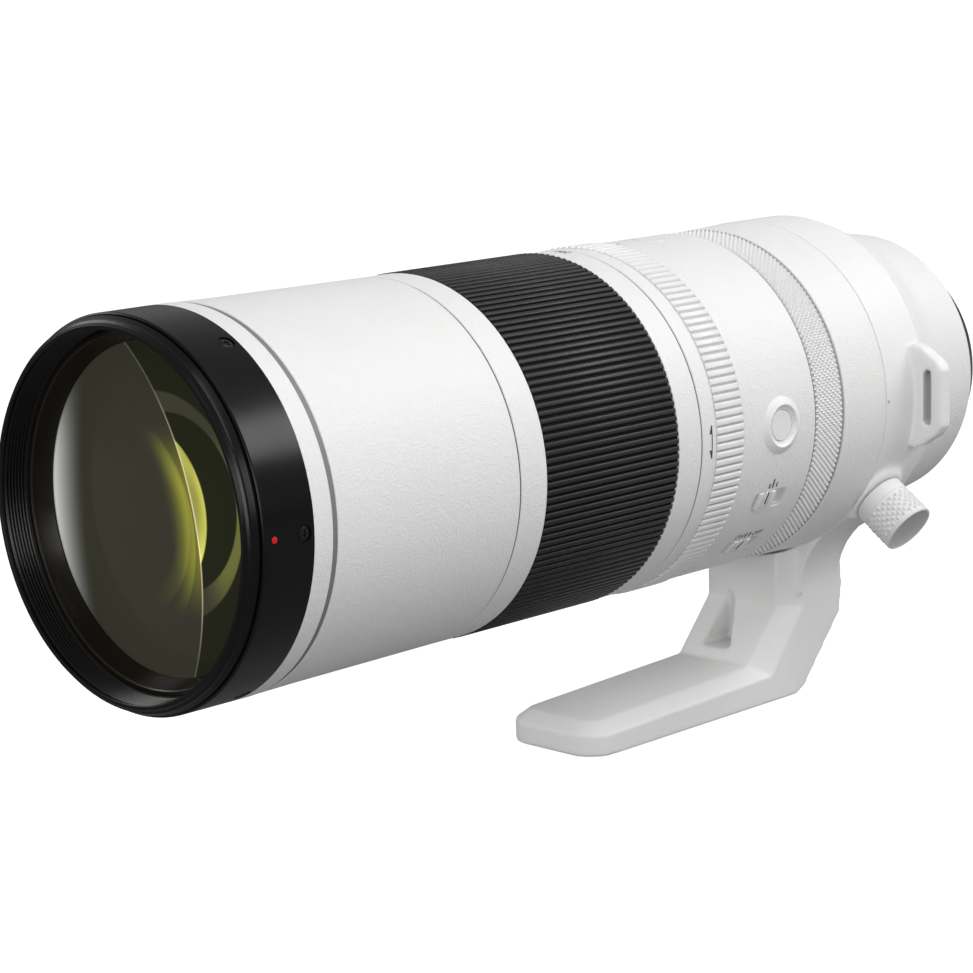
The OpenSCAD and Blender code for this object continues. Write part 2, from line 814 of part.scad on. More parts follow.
module tension_ring() color("whitesmoke")
    turned([[y_zoom + half_gap, turning_in_r], [y_zoom + half_gap, body_r],
        [y_tension - half_gap - tension_grip_w, body_r],
        [y_tension - half_gap - tension_grip_w, body_r + tension_grip_t],
        [y_tension - half_gap, body_r + tension_grip_t], [y_tension - half_gap, turning_in_r]]);

module zoom_key(spare) {
    block_x(cam_in_r + key_bite, turning_in_r + key_bite, y_key, key_w + 2 * spare,
        key_h + 2 * spare);
}

module zoom_ring() color("whitesmoke") difference() {
    turned([[y_sleeve + half_gap, turning_in_r], [y_sleeve + half_gap, body_r],
        [y_sleeve + zoom_band_w, body_r], [y_sleeve + zoom_band_w, body_r - rubber_t],
        [y_sleeve + zoom_band_w + rubber_len, body_r - rubber_t],
        [y_sleeve + zoom_band_w + rubber_len, body_r], [y_zoom - half_gap, body_r],
        [y_zoom - half_gap, turning_in_r]]);
    zoom_key(fit_gap);
}

// The grip is one band with a lengthwise rib at each step round it
module zoom_rubber() color("dimgray") {
    rib_top_r = body_r + rubber_t / 4;
    groove_r = rib_top_r - rubber_rib_h;
    step = 360 / rubber_rib_count;
    half = step * rubber_rib_share / 2;
    corners = [[-half, groove_r], [-half, rib_top_r], [half, rib_top_r], [half, groove_r]];
    outline = [for (i = [0:rubber_rib_count - 1], p = corners)
        [p[1] * cos(i * step + p[0]), p[1] * sin(i * step + p[0])]];
    rotate([-90, 0, 0]) translate([0, 0, y_sleeve + zoom_band_w + fit_gap])
        linear_extrude(rubber_len - 2 * fit_gap) difference() {
            polygon(outline);
            circle(r = body_r - rubber_t + fit_gap);
        }
}

// The flat outline of a groove's cross-section, as an arc of a ring
module groove_outline(r0, r1, half_angle) {
    steps = max(1, ceil(half_angle / groove_steps * 4));
    angles = [for (i = [0:steps]) -half_angle + 2 * half_angle * i / steps];
    polygon(concat([for (a = angles) [r1 * cos(a), r1 * sin(a)]],
        [for (i = [steps:-1:0]) [r0 * cos(angles[i]), r0 * sin(angles[i])]]));
}

// A helical groove that carries a follower from y0 to y0 + travel while the barrel turns
module cam_groove(y0, travel, r0, r1, angle, lean) {
    half_w = follower_r + follower_spare;
    run = zoom_turn / 360 * 2 * PI * r1;
    slope = atan(travel / run);
    half_angle = half_w / sin(slope) / r1 * 180 / PI;
    spill = half_w / travel;
    rotate([-90, 0, 0]) translate([0, 0, y0 - half_w])
        rotate([0, 0, -angle - lean * zoom_turn * spill])
        linear_extrude(travel + 2 * half_w, twist = -lean * zoom_turn * (1 + 2 * spill),
            slices = groove_steps, $fn = 0)
        groove_outline(r0, r1, half_angle);
}

module cam_barrel() color("silver") union() {
    difference() {
        ring(y_cam_front, y_cam_rear, cam_in_r, cam_r);
        for (i = [0:follower_count - 1]) {
            cam_groove(y_tube_follower - zoom_out, zoom_out, cam_r - groove_t, cam_r + over,
                i * 360 / follower_count + zoom_turn, 1);
            cam_groove(y_variator_follower, variator_travel, cam_in_r - over,
                cam_in_r + groove_t, i * 360 / follower_count + variator_first, -1);
        }
    }
    zoom_key(0);
}

module guide_barrel() color("gray") difference() {
    union() {
        ring(y_cam_front, y_guide_rear, guide_in_r, guide_r);
        ring(y_guide_rear - guide_foot_w, y_guide_rear, guide_in_r, main_in_r - fit_gap);
    }
    for (i = [0:follower_count - 1]) round_at(i * 360 / follower_count + variator_first)
        block_x(guide_in_r - over, guide_r + over, y_variator_follower + variator_travel / 2,
            variator_travel + 2 * (follower_r + follower_spare),
            2 * (follower_r + follower_spare));
}

module front_sleeve() color("whitesmoke")
    turned([[y_sleeve_front, body_r - shell_wall], [y_sleeve_front, collar_r - 2 * fit_gap],
        [y_sleeve - half_gap, body_r], [y_sleeve - half_gap, main_seat_r],
        [y_main_front, main_seat_r], [y_main_front, body_r - shell_wall]]);

module dust_seal() color("black")
    ring(y_sleeve_front + fit_gap, y_sleeve_front + seal_len, ext_r + run_gap / 2,
        body_r - shell_wall - fit_gap);

module extension_tube() color("silver") union() {
    ring(y_head, y_ext_rear, ext_in_r, ext_r);
    for (i = [0:follower_count - 1]) round_at(i * 360 / follower_count)
        peg(y_tube_follower, cam_r - groove_t + follower_tip, ext_in_r + tube_wall / 2,
            follower_r);
}

module front_band() color("whitesmoke")
    ring(y_head + fit_gap / 2, y_band, ext_r + fit_gap, head_r);

module front_ring() color("black") difference() {
    turned([[y_front, thread_r], [y_front, lip_r], [y_front + lip_bevel, head_r - shell_wall / 2],
        [y_front + lip_bevel, head_r - hood_groove_t],
        [y_front + lip_bevel + hood_groove_w, head_r - hood_groove_t],
        [y_front + lip_bevel + hood_groove_w, head_r], [y_head, head_r],
        [y_head, ext_r + cell_seat_w + fit_gap],
        [y_glass_rear, ext_r + cell_seat_w + fit_gap],
        [y_glass_rear, glass_r + fit_gap], [y_glass_step, glass_r + fit_gap],
        [y_glass_step, retainer_r + fit_gap], [y_retainer, retainer_r + fit_gap],
        [y_retainer, thread_r]]);
    for (i = [0:ring_screw_count - 1]) round_at(i * 360 / ring_screw_count)
        screw_hole_x(y_ring_screw, head_r - fit_gap, ring_screw_r, ring_screw_head_t,
            ring_screw_shank_r, ring_screw_len);
}

module ring_screws() color("dimgray")
    for (i = [0:ring_screw_count - 1]) round_at(i * 360 / ring_screw_count)
        screw_x(y_ring_screw, head_r - fit_gap, ring_screw_r, ring_screw_head_t,
            ring_screw_shank_r, ring_screw_len, true);

module front_retainer() color("black")
    turned([[y_retainer, clear_r + retainer_funnel], [y_retainer, retainer_r],
        [y_glass_step, retainer_r], [y_glass_step, glass_r - fit_gap],
        [y_glass_step + glass_step, glass_r - fit_gap], [y_glass_step + glass_step, clear_r]]);

module front_element() color("darkolivegreen", 0.5)
    glass(y_glass_edge, y_glass_rear, glass_r, -glass_bulge, -glass_bulge / 4);

module front_cell() color("black")
    turned([[y_glass_rear, front_cell_in_r], [y_glass_rear, ext_r + cell_seat_w],
        [y_head, ext_r + cell_seat_w], [y_head, ext_in_r - fit_gap],
        [y_head + cell_len, ext_in_r - fit_gap], [y_head + cell_len, doublet_in_r],
        [y_head + cell_len - doublet_edge / 2, doublet_in_r],
        [y_head + cell_len - doublet_edge / 2, front_cell_in_r]]);

module front_doublet() color("lightblue", 0.5) {
    rear = y_head + cell_len - doublet_edge / 2;
    glass(rear - doublet_edge, rear, doublet_r, -doublet_bulge / 3, -doublet_bulge / 2);
    glass(rear - 3 * doublet_edge, rear - 3 * doublet_edge / 2, doublet_r, -doublet_bulge / 3,
        -doublet_bulge / 3);
}

module variator_cell() color("black") union() {
    ring(y_variator - variator_len, y_variator, cell_r - variator_wall, cell_r);
    for (i = [0:follower_count - 1]) round_at(i * 360 / follower_count + variator_first)
        peg(y_variator_follower, cell_r - variator_wall / 2, cam_in_r + groove_t - follower_tip,
            follower_r);
}

module variator_elements() color("lightblue", 0.5) {
    r = cell_r - variator_wall - fit_gap;
    front = y_variator - variator_len;
    glass(front + variator_edge, front + 2 * variator_edge, r, variator_bulge / 2,
        -variator_bulge / 2);
    glass(y_variator - 2 * variator_edge, y_variator - variator_edge, r, variator_bulge / 2,
        variator_bulge);
}

module iris_housing() color("black") difference() {
    union() {
        ring(y_iris_front, y_iris_front + iris_plate_t, iris_plate_in_r, iris_case_r);
        ring(y_iris_front, y_iris_rear, iris_case_r - iris_case_wall, iris_case_r);
    }
    for (i = [1:blade_count]) round_at(i * 360 / blade_count)
        pin_y(blade_pivot_r, y_iris_front + iris_plate_t - blade_pin_bite - blade_gap,
            y_iris_front + iris_plate_t + over, 0, blade_pin_r + pin_gap);
}

module iris_ring() color("dimgray")
    ring(y_iris_ring, y_iris_ring + iris_ring_t - blade_gap, iris_ring_in_r,
        iris_case_r - iris_case_wall - run_gap);

// One blade at its own level, with its pivot pin into the front plate
module iris_blade(i) color("dimgray") round_at(i * 360 / blade_count) {
    y0 = y_blades + (i - 1) * blade_pitch;
    sector(y0, y0 + blade_t, iris_r, iris_r + blade_w, -blade_tail_angle, blade_angle);
    pin_y(blade_pivot_r, y0, y0 + blade_t, 0, blade_ear_r);
    translate([iris_r + blade_w / 2, y0, -blade_ear_r / 2])
        cube([blade_pivot_r - iris_r - blade_w / 2, blade_t, blade_ear_r]);
    pin_y(blade_pivot_r, y_iris_front + iris_plate_t - blade_pin_bite, y0 + blade_t, 0,
        blade_pin_r);
}

module stabiliser_base() color("black") difference() {
    union() {
        ring(y_iris_rear, y_base_rear, base_in_r, guide_in_r - fit_gap);
        for (side = [-1, 1]) translate([side * (frame_half_w + layer_gap + rail_t / 2),
            y_base_rear - base_t / 2, 0]) translate([-rail_t / 2, 0, -rail_half_len])
            cube([rail_t, base_t / 2 + rail_h, 2 * rail_half_len]);
    }
    for (a = [rod_angle, rod_angle + 180]) round_at(a)
        pin_y(rod_at_r, y_base_rear - rod_bite, y_base_rear + over, 0, rod_r + fit_gap);
}

module stabiliser_frame() color("dimgray") difference() {
    union() {
        translate([-frame_half_w, y_frame, -frame_half_h])
            cube([2 * frame_half_w, frame_t, 2 * frame_half_h]);
        for (side = [-1, 1]) translate([-rail_half_len, y_frame + frame_t / 2,
            side * (cell_half_h + layer_gap + rail_t / 2) - rail_t / 2])
            cube([2 * rail_half_len, frame_t / 2 + rail_h, rail_t]);
    }
    disc(y_frame - over, y_frame_rear + over, stabiliser_glass_r + cell_tube_t
        + 2 * stabiliser_play);
}

module stabiliser_cell() color("black") difference() {
    union() {
        translate([-cell_half_w, y_cell, -cell_half_h])
            cube([2 * cell_half_w, cell_plate_t, 2 * cell_half_h]);
        disc(y_cell + cell_plate_t / 2, y_cell + cell_tube_len, stabiliser_glass_r + cell_tube_t);
    }
    disc(y_cell - over, y_cell + cell_tube_len + over, stabiliser_glass_r + fit_gap);
}

module stabiliser_element() color("lightblue", 0.5)
    glass(y_cell + stabiliser_bulge, y_cell + stabiliser_bulge + stabiliser_edge,
        stabiliser_glass_r, -stabiliser_bulge / 2, stabiliser_bulge);

module guide_rods() color("silver")
    for (a = [rod_angle, rod_angle + 180]) round_at(a)
        pin_y(rod_at_r, y_base_rear - rod_bite, bulkhead_y - bulkhead_t + rod_bite, 0, rod_r);

module focus_cell() color("black") difference() {
    union() {
        disc(y_focus - focus_len, y_focus, focus_glass_r + focus_wall);
        for (a = [rod_angle, rod_angle + 180]) round_at(a)
            block_x(focus_glass_r + focus_wall / 2, ear_out_r, y_focus - focus_len / 2,
                focus_len, ear_w);
        round_at(motor_angle) block_x(focus_glass_r + focus_wall / 2, rod_at_r - layer_gap,
            y_focus - focus_len / 2, focus_len, ear_w);
    }
    disc(y_focus - focus_len - over, y_focus + over, focus_glass_r + fit_gap);
    for (a = [rod_angle, rod_angle + 180]) round_at(a)
        pin_y(rod_at_r, y_focus - focus_len - over, y_focus + over, 0, rod_r + rod_spare);
}

module focus_element() color("lightblue", 0.5)
    glass(y_focus - focus_len + focus_edge, y_focus - focus_len + 2 * focus_edge,
        focus_glass_r, focus_bulge, -focus_bulge);

module focus_motor() color("dimgray") round_at(motor_angle)
    translate([rod_at_r, bulkhead_y - bulkhead_t - motor_len, -motor_w / 2])
        cube([motor_t, motor_len, motor_w]);

// The leg from the collar down to the kink, the heel and the foot
cheek_back = leg_back + (leg_kink_back - leg_back) * (cheek_z - leg_heel_z) /
    (leg_kink_z - leg_heel_z);
function leg_upper(front) = [[y_collar - ring_gap, -leg_top_z],
    [y_collar + leg_back, -leg_heel_z], [y_collar + cheek_back, -cheek_z],
    [y_collar - front, -cheek_z], [y_collar - front, -leg_top_z]];
function leg_lower(front, foot, top_z) = [[y_collar + cheek_back, -cheek_z],
    [y_collar + leg_kink_back, -leg_kink_z], [-heel_slope_y, -foot_z + heel_slope_h],
    [-heel_y, -foot_z], [y_collar - foot, -foot_z], [y_collar - foot, top_z],
    [y_collar - front, -cheek_z]];
foot_side_z = -foot_z + foot_side_h + heel_slope_h;
foot_top_z = -foot_z + foot_t;
foot_top_half_w = foot_half_w - foot_edge_w;

module foot_block() hull() {
    for (side = [-1, 1]) {
        translate([side * (foot_half_w - toe_corner_r), -toe_y + toe_corner_r, -foot_z])
            cylinder(r = toe_corner_r, h = foot_side_h, $fn = 32);
        translate([side * (foot_top_half_w - toe_corner_r / 2),
            -toe_y + foot_edge_w + toe_corner_r / 2, -foot_z])
            cylinder(r = toe_corner_r / 2, h = foot_t - foot_rise, $fn = 32);
    }
    translate([-foot_half_w, -heel_y - foot_t, -foot_z])
        cube([2 * foot_half_w, foot_t, foot_side_h + heel_slope_h]);
    translate([-foot_top_half_w, -heel_y - foot_t, -foot_z])
        cube([2 * foot_top_half_w, foot_t, foot_t]);
}

module saddle() difference() {
    translate([-foot_half_w - saddle_r / 2, y_rear + ring_gap, -leg_heel_z])
        cube([2 * foot_half_w + saddle_r, collar_w - 2 * ring_gap, leg_heel_z - leg_top_z / 2]);
    for (side = [-1, 1])
        pin_y(side * (foot_half_w + saddle_r), y_rear - over, y_collar + over, -leg_heel_z,
            saddle_r);
    disc(y_rear - over, y_collar + over, collar_in_r + collar_wall / 2);
}

module lug() difference() {
    plate(-lug_y - lug_t / 2, -lug_y + lug_t / 2) polygon(concat(
        [[lug_root_x, -lug_root_z], [lug_elbow_x, -lug_elbow_z], [lug_x - lug_step_x, -lug_step_z],
        [lug_x, -lug_flat]], [[lug_x, lug_flat], [lug_x - lug_step_x, lug_step_z],
        [lug_elbow_x, lug_elbow_z], [lug_root_x, lug_root_z]]));
    block_x(lug_slot_x, lug_slot_x + lug_slot_w, -lug_y, lug_t + 2 * over,
        2 * lug_slot_half_h - lug_slot_w);
    for (side = [-1, 1])
        pin_y(lug_slot_x + lug_slot_w / 2, -lug_y - lug_t, -lug_y + lug_t,
            side * (lug_slot_half_h - lug_slot_w / 2), lug_slot_w / 2);
    disc(y_rear, y_collar + 2 * lug_t, collar_in_r + collar_wall / 2);
}

module foot_pocket() {
    translate([-plate_half_w, -plate_front_y, -foot_z - over])
        cube([2 * plate_half_w, plate_front_y - plate_rear_y, plate_t + over]);
    for (p = [[small_insert_y, small_insert_r], [large_insert_y, large_insert_r]])
        translate([0, -p[0], -foot_z - over])
            cylinder(r = p[1] + fit_gap, h = insert_h + over + fit_gap);
    foot_screw_places() translate([0, 0, -over])
        cylinder(r = foot_screw_shank_r + fit_gap, h = foot_screw_len + over + fit_gap, $fn = 48);
}

module foot_screw_places()
    for (x = [-foot_screw_x, foot_screw_x], y = [-plate_front_y + foot_screw_inset,
        -plate_rear_y - foot_screw_inset]) translate([x, y, -foot_z]) children();

module front_pocket() {
    translate([0, -pocket_back_y, 0]) rotate([90, 0, 0]) linear_extrude(leg_core_foot)
        polygon([[pocket_apex_in - pocket_left_w, -pocket_z], [-pocket_left_w, -pocket_floor_z],
            [pocket_right_w, -pocket_floor_z]]);
}

module tripod_collar() color("whitesmoke") difference() {
    union() {
        ring(y_rear + ring_gap, y_collar - ring_gap, collar_in_r, collar_r);
        saddle();
        hull() {
            slab(leg_upper(leg_side_front), foot_half_w);
            slab(leg_upper(leg_core_front), foot_top_half_w);
        }
        hull() {
            slab(leg_lower(leg_side_front, leg_side_foot, foot_side_z), foot_half_w);
            slab(leg_lower(leg_core_front, leg_core_foot, foot_top_z), foot_top_half_w);
        }
        foot_block();
        lug();
        mirror([1, 0, 0]) lug();
        round_at(knob_angle) cone_peg(y_knob, collar_in_r + collar_wall / 2, collar_r + boss_h,
            boss_r + boss_flare, boss_r);
    }
    disc(y_rear + ring_gap / 2, y_collar - ring_gap / 2, collar_in_r);
    disc(-toe_y, y_rear + ring_gap, swing_r);
    disc(y_collar - ring_gap, y_skirt, swing_r);
    front_pocket();
    foot_pocket();
    round_at(knob_angle)
        peg(y_knob, collar_in_r - over, collar_r + 2 * boss_h, knob_screw_r + knob_screw_gap);
}

module foot_plate() color("gray") difference() {
    translate([-plate_half_w + fit_gap, -plate_front_y + fit_gap, -foot_z])
        cube([2 * (plate_half_w - fit_gap), plate_front_y - plate_rear_y - 2 * fit_gap,
            plate_t - fit_gap]);
    for (p = [[small_insert_y, small_insert_r], [large_insert_y, large_insert_r]])
        translate([0, -p[0], -foot_z - over])
            cylinder(r = p[1] + fit_gap, h = plate_t + 2 * over);
    foot_screw_places() {
        translate([0, 0, -fit_gap]) cylinder(r1 = foot_screw_r + 2 * fit_gap,
            r2 = foot_screw_shank_r + fit_gap, h = foot_screw_head_t + fit_gap, $fn = 48);
        cylinder(r = foot_screw_shank_r + fit_gap, h = plate_t + over, $fn = 48);
    }
}

module foot_screws() color("dimgray") foot_screw_places() difference() {
    union() {
        cylinder(r1 = foot_screw_r, r2 = foot_screw_shank_r, h = foot_screw_head_t, $fn = 48);
        cylinder(r = foot_screw_shank_r, h = foot_screw_len, $fn = 48);
    }
    translate([-cross_w / 2, -foot_screw_r / 2, -over]) cube([cross_w, foot_screw_r, 2 * over]);
    translate([-foot_screw_r / 2, -cross_w / 2, -over]) cube([foot_screw_r, cross_w, 2 * over]);
}

module thread_inserts() color("silver")
    for (p = [[small_insert_y, small_insert_r, small_thread_r],
        [large_insert_y, large_insert_r, large_thread_r]])
        translate([0, -p[0], -foot_z]) difference() {
            cylinder(r = p[1], h = insert_h);
            translate([0, 0, -over]) cylinder(r = p[2], h = insert_h + 2 * over);
        }

module lock_knob() color("whitesmoke") round_at(knob_angle) difference() {
    base = collar_r + boss_h + knob_gap;
    union() {
        peg(y_knob, base, base + knob_base_h, knob_r - knob_base_in);
        peg(y_knob, base + knob_base_h, base + knob_h - knob_rim_h, knob_r);
        cone_peg(y_knob, base + knob_h - knob_rim_h, base + knob_h, knob_r, knob_r - knob_rim_in);
        peg(y_knob, knob_screw_end, base + knob_base_h, knob_screw_r);
    }
    cone_peg(y_knob, base + knob_h - knob_dish, base + knob_h + fit_gap,
        knob_r - 2 * knob_dish, knob_r - knob_dish);
}

mount_flange();
mount_screws();
contact_block();
contact_pins();
rear_ring();
rear_skirt();
bearing_sleeve();
rear_barrel();
main_board();
rear_cell();
rear_elements();
main_barrel();
switch_barrel();
switch_plates();
side_button();
top_button();
focus_switch();
stabiliser_switch();
control_ring();
tension_ring();
zoom_ring();
zoom_rubber();
cam_barrel();
guide_barrel();
front_sleeve();
dust_seal();
extension_tube();
front_band();
front_ring();
ring_screws();
front_retainer();
front_element();
front_cell();
front_doublet();
variator_cell();
variator_elements();
iris_housing();
iris_ring();
stabiliser_base();
stabiliser_frame();
stabiliser_cell();
stabiliser_element();
guide_rods();
focus_cell();
focus_element();
focus_motor();
tripod_collar();
foot_plate();
foot_screws();
thread_inserts();
lock_knob();
for (i = [1:blade_count]) iris_blade(i);
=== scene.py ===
# %% [markdown]
# # A white super telephoto zoom lens
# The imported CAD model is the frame: every body, joint and size comes from it. Blender adds the
# looks. The outer shells are made again with soft edges, and the ribs, the knurls, the buttons,
# the marks and the coated front glass are added as pieces that ride on the same bodies.
#
# Lengths are in millimetres until a mesh is finished. Y is the optical axis, with the front at
# its low end. Angles round the barrel start at +X, the side button's place, and grow towards +Z.

# %% Load the frame
import json
import math

import bmesh
import bpy
from mathutils import Matrix, Vector


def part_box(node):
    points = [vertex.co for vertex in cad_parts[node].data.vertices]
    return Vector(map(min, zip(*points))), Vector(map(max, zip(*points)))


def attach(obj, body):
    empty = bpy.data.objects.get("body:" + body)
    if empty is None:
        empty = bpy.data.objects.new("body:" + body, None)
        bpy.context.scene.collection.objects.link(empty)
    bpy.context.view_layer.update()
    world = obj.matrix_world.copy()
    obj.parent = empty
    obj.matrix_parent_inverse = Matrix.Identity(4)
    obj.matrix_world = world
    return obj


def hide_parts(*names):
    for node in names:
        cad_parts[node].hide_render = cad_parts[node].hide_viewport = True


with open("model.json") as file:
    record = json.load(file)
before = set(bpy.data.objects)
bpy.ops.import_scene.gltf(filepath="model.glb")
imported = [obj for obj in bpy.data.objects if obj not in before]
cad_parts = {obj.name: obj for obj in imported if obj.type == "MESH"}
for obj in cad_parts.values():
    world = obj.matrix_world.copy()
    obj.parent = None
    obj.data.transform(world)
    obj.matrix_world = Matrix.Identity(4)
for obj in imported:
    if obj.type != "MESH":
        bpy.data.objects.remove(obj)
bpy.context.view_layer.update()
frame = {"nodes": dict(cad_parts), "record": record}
MM = 0.001

# %% [markdown]
# ## Sizes
# Each ring along the barrel starts and ends at a station on the optical axis. The numbers could
# be written out again here, but they would be wrong after the first change to the construction.
# So they are read from the boxes of the CAD nodes. GAP is the width of a seam between two rings.

# %% Stations and radii in millimetres
def front_y(node):
    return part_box(node)[0].y / MM


def rear_y(node):
    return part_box(node)[1].y / MM


def middle_y(node):
    return 0.5 * (front_y(node) + rear_y(node))


def outer_r(node):
    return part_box(node)[1].x / MM


FOOT_Z = -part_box("tripod_collar")[0].z / MM
Y_FRONT = front_y("front_ring")
Y_HEAD = rear_y("front_ring")
Y_SLEEVE_FRONT = front_y("front_sleeve")
Y_SLEEVE = front_y("zoom_ring")
Y_ZOOM = rear_y("zoom_ring")
Y_TENSION = rear_y("tension_ring")
Y_SWITCH = rear_y("switch_barrel")
Y_CONTROL = rear_y("control_ring")
Y_REAR = rear_y("rear_barrel")
Y_COLLAR = front_y("rear_skirt")
Y_RUBBER_FRONT = front_y("zoom_rubber")
Y_RUBBER_REAR = rear_y("zoom_rubber")
Y_BAND = rear_y("front_band")
Y_BUTTON = middle_y("side_button")
BODY_R = outer_r("zoom_ring")
HEAD_R = outer_r("front_band")
GAP = 0.36
print("front at", round(Y_FRONT, 2), "body radius", round(BODY_R, 2))

# %% [markdown]
# ## Camera
# The photograph shows the front from a little above and from the side of the switches. The
# angles, the distance and the focal length were worked out from the rings' ellipses, because a
# circle seen at a slant tells both its size and its turn.

# %% Camera
CAMERA_AZIMUTH, CAMERA_ELEVATION, CAMERA_ROLL = (math.radians(a) for a in (44.612, 10.983, -1.6))
CAMERA_DISTANCE = 847.948 * MM
CAMERA_TARGET = Vector((-32.018, -157.0, -20.599)) * MM
IMAGE_SIZE = 973
FOCAL_PIXELS = 2865.6
PRINCIPAL_POINT = (478.63, 485.21)
SENSOR_WIDTH = 36.0

back = Vector((math.sin(CAMERA_AZIMUTH) * math.cos(CAMERA_ELEVATION),
               -math.cos(CAMERA_AZIMUTH) * math.cos(CAMERA_ELEVATION),
               math.sin(CAMERA_ELEVATION)))
right = (-back).cross(Vector((0, 0, 1))).normalized()
up = right.cross(-back)
turned_right = right * math.cos(CAMERA_ROLL) + up * math.sin(CAMERA_ROLL)
turned_up = up * math.cos(CAMERA_ROLL) - right * math.sin(CAMERA_ROLL)

camera_data = bpy.data.cameras.new("camera")
camera_data.sensor_width = SENSOR_WIDTH
camera_data.lens = FOCAL_PIXELS * SENSOR_WIDTH / IMAGE_SIZE
camera_data.shift_x = (IMAGE_SIZE / 2 - PRINCIPAL_POINT[0]) / IMAGE_SIZE
camera_data.shift_y = (PRINCIPAL_POINT[1] - IMAGE_SIZE / 2) / IMAGE_SIZE
camera_data.clip_start, camera_data.clip_end = 0.01, 60
camera = bpy.data.objects.new("camera", camera_data)
camera.matrix_world = Matrix.Translation(CAMERA_TARGET + back * CAMERA_DISTANCE) @ Matrix(
    (turned_right, turned_up, back)).transposed().to_4x4()
bpy.context.scene.collection.objects.link(camera)
bpy.context.scene.camera = camera
print("focal length", round(camera_data.lens, 1), "mm")

# %% [markdown]
# ## World
# A studio is brighter on the side of its large lamps than on the other. A picture of a room could
# light the lens, but a ramp of greys needs no file. It is dark on the far side, low down, and
# pale over the lens. Only the camera sees plain white, as the photograph's background is.

# %% World
scene = bpy.context.scene
scene.view_settings.view_transform = "Standard"
TOWARDS_LIGHT = (0.42, 0.10, 0.90)
GREYS = ((0.35, 0.10), (0.55, 0.45), (0.95, 0.34))
world = bpy.data.worlds.new("studio")
scene.world = world
world.use_nodes = True
wn, wl = world.node_tree.nodes, world.node_tree.links
wn.clear()
world_out = wn.new("ShaderNodeOutputWorld")
direction = wn.new("ShaderNodeTexCoord")
towards = wn.new("ShaderNodeVectorMath")
towards.operation = "DOT_PRODUCT"
towards.inputs[1].default_value = TOWARDS_LIGHT
to_unit = wn.new("ShaderNodeMath")
to_unit.operation = "MULTIPLY_ADD"
to_unit.inputs[1].default_value = 0.5
to_unit.inputs[2].default_value = 0.5
sky = wn.new("ShaderNodeValToRGB")
stops = sky.color_ramp.elements
stops.new(GREYS[1][0])
for stop, (position, grey) in zip(stops, GREYS):
    stop.position = position
    stop.color = (grey, grey, grey, 1)
soft_world = wn.new("ShaderNodeBackground")
white_world = wn.new("ShaderNodeBackground")
white_world.inputs["Color"].default_value = (1, 1, 1, 1)
paths = wn.new("ShaderNodeLightPath")
pick = wn.new("ShaderNodeMixShader")
wl.new(direction.outputs["Generated"], towards.inputs[0])
wl.new(towards.outputs["Value"], to_unit.inputs[0])
wl.new(to_unit.outputs[0], sky.inputs[0])
wl.new(sky.outputs[0], soft_world.inputs["Color"])
wl.new(paths.outputs["Is Camera Ray"], pick.inputs[0])
wl.new(soft_world.outputs[0], pick.inputs[1])
wl.new(white_world.outputs[0], pick.inputs[2])
wl.new(pick.outputs[0], world_out.inputs[0])
print("greys of the world:", [round(stop.color[0], 2) for stop in stops])

# %% [markdown]
# ## Lamps
# Five soft lamps shape the white barrel: over it, beside it, behind it, in front and on the left.
# The long one behind makes the bright stripe on the black ring, which mirrors it. Moving that
# lamp moves the stripe. Area lamps were chosen, because their size sets how soft a shadow is.

# %% Lamps
LAMPS = (("lamp_over", (0.50, -0.15, 0.88), (0, -0.16, 0), (0.6, 0.7), 4.0),
         ("lamp_side", (1.05, -0.75, 0.35), (0, -0.18, 0), (0.5, 0.5), 2.5),
         ("lamp_behind", (0.68, 0.78, 0.78), (0, -0.16, 0), (1.0, 0.40), 8.5),
         ("lamp_front", (0.15, -1.25, 0.0), (0, -0.16, -0.05), (0.5, 0.4), 4.5),
         ("lamp_left", (-1.0, -0.75, 0.45), (0, -0.18, 0), (0.5, 0.5), 3.5))


def soft_lamp(name, spot, aim, size, watts):
    """A rectangular area lamp at a spot, pointed at an aim, all in metres."""
    data = bpy.data.lights.new(name, "AREA")
    data.shape = "RECTANGLE"
    data.size, data.size_y = size
    data.energy = watts
    lamp = bpy.data.objects.new(name, data)
    turn = (Vector(aim) - Vector(spot)).to_track_quat("-Z", "Y")
    lamp.matrix_world = Matrix.Translation(spot) @ turn.to_matrix().to_4x4()
    scene.collection.objects.link(lamp)


for settings in LAMPS:
    soft_lamp(*settings)

# %% [markdown]
# ## Rounded outlines
# A lens is mostly turned parts, so each shell starts as an outline in Y and radius. No real edge
# is sharp. A Bevel modifier could round the finished shell, but it needs care at every crossing.
# Rounding the outline first is exact. A support point on both sides of each rounded corner keeps
# the long faces flat in shading.

# %% Rounded outlines
ROUND_STEPS = 3
LONGEST_SHARE = 0.32
SHORTEST = 0.01
SUPPORT = 1.45
ALMOST_STRAIGHT = math.radians(172)


def rounded(points, radius):
    """The closed outline with every real corner rounded, and a support point on both sides."""
    soft = []
    for i, point in enumerate(points):
        p = Vector(point[:2])
        limit = point[2] if len(point) > 2 else radius
        a, b = Vector(points[i - 1][:2]) - p, Vector(points[(i + 1) % len(points)][:2]) - p
        reach = min(limit, LONGEST_SHARE * a.length, LONGEST_SHARE * b.length)
        if reach < SHORTEST or a.angle(b) > ALMOST_STRAIGHT:
            soft.append(p)
            continue
        ua, ub = a.normalized(), b.normalized()
        start, end = p + ua * reach, p + ub * reach
        soft.append(p + ua * reach * SUPPORT)
        for k in range(ROUND_STEPS + 1):
            t = k / ROUND_STEPS
            soft.append(start * (1 - t) ** 2 + p * 2 * t * (1 - t) + end * t * t)
        soft.append(p + ub * reach * SUPPORT)
    return soft


def tube(y0, y1, inner, outer, *soft):
    """The outline of a plain tube; soft may give the rounding of its two outer corners."""
    return [(y0, inner), (y0, outer, *soft[:1]), (y1, outer, *soft[1:]), (y1, inner)]


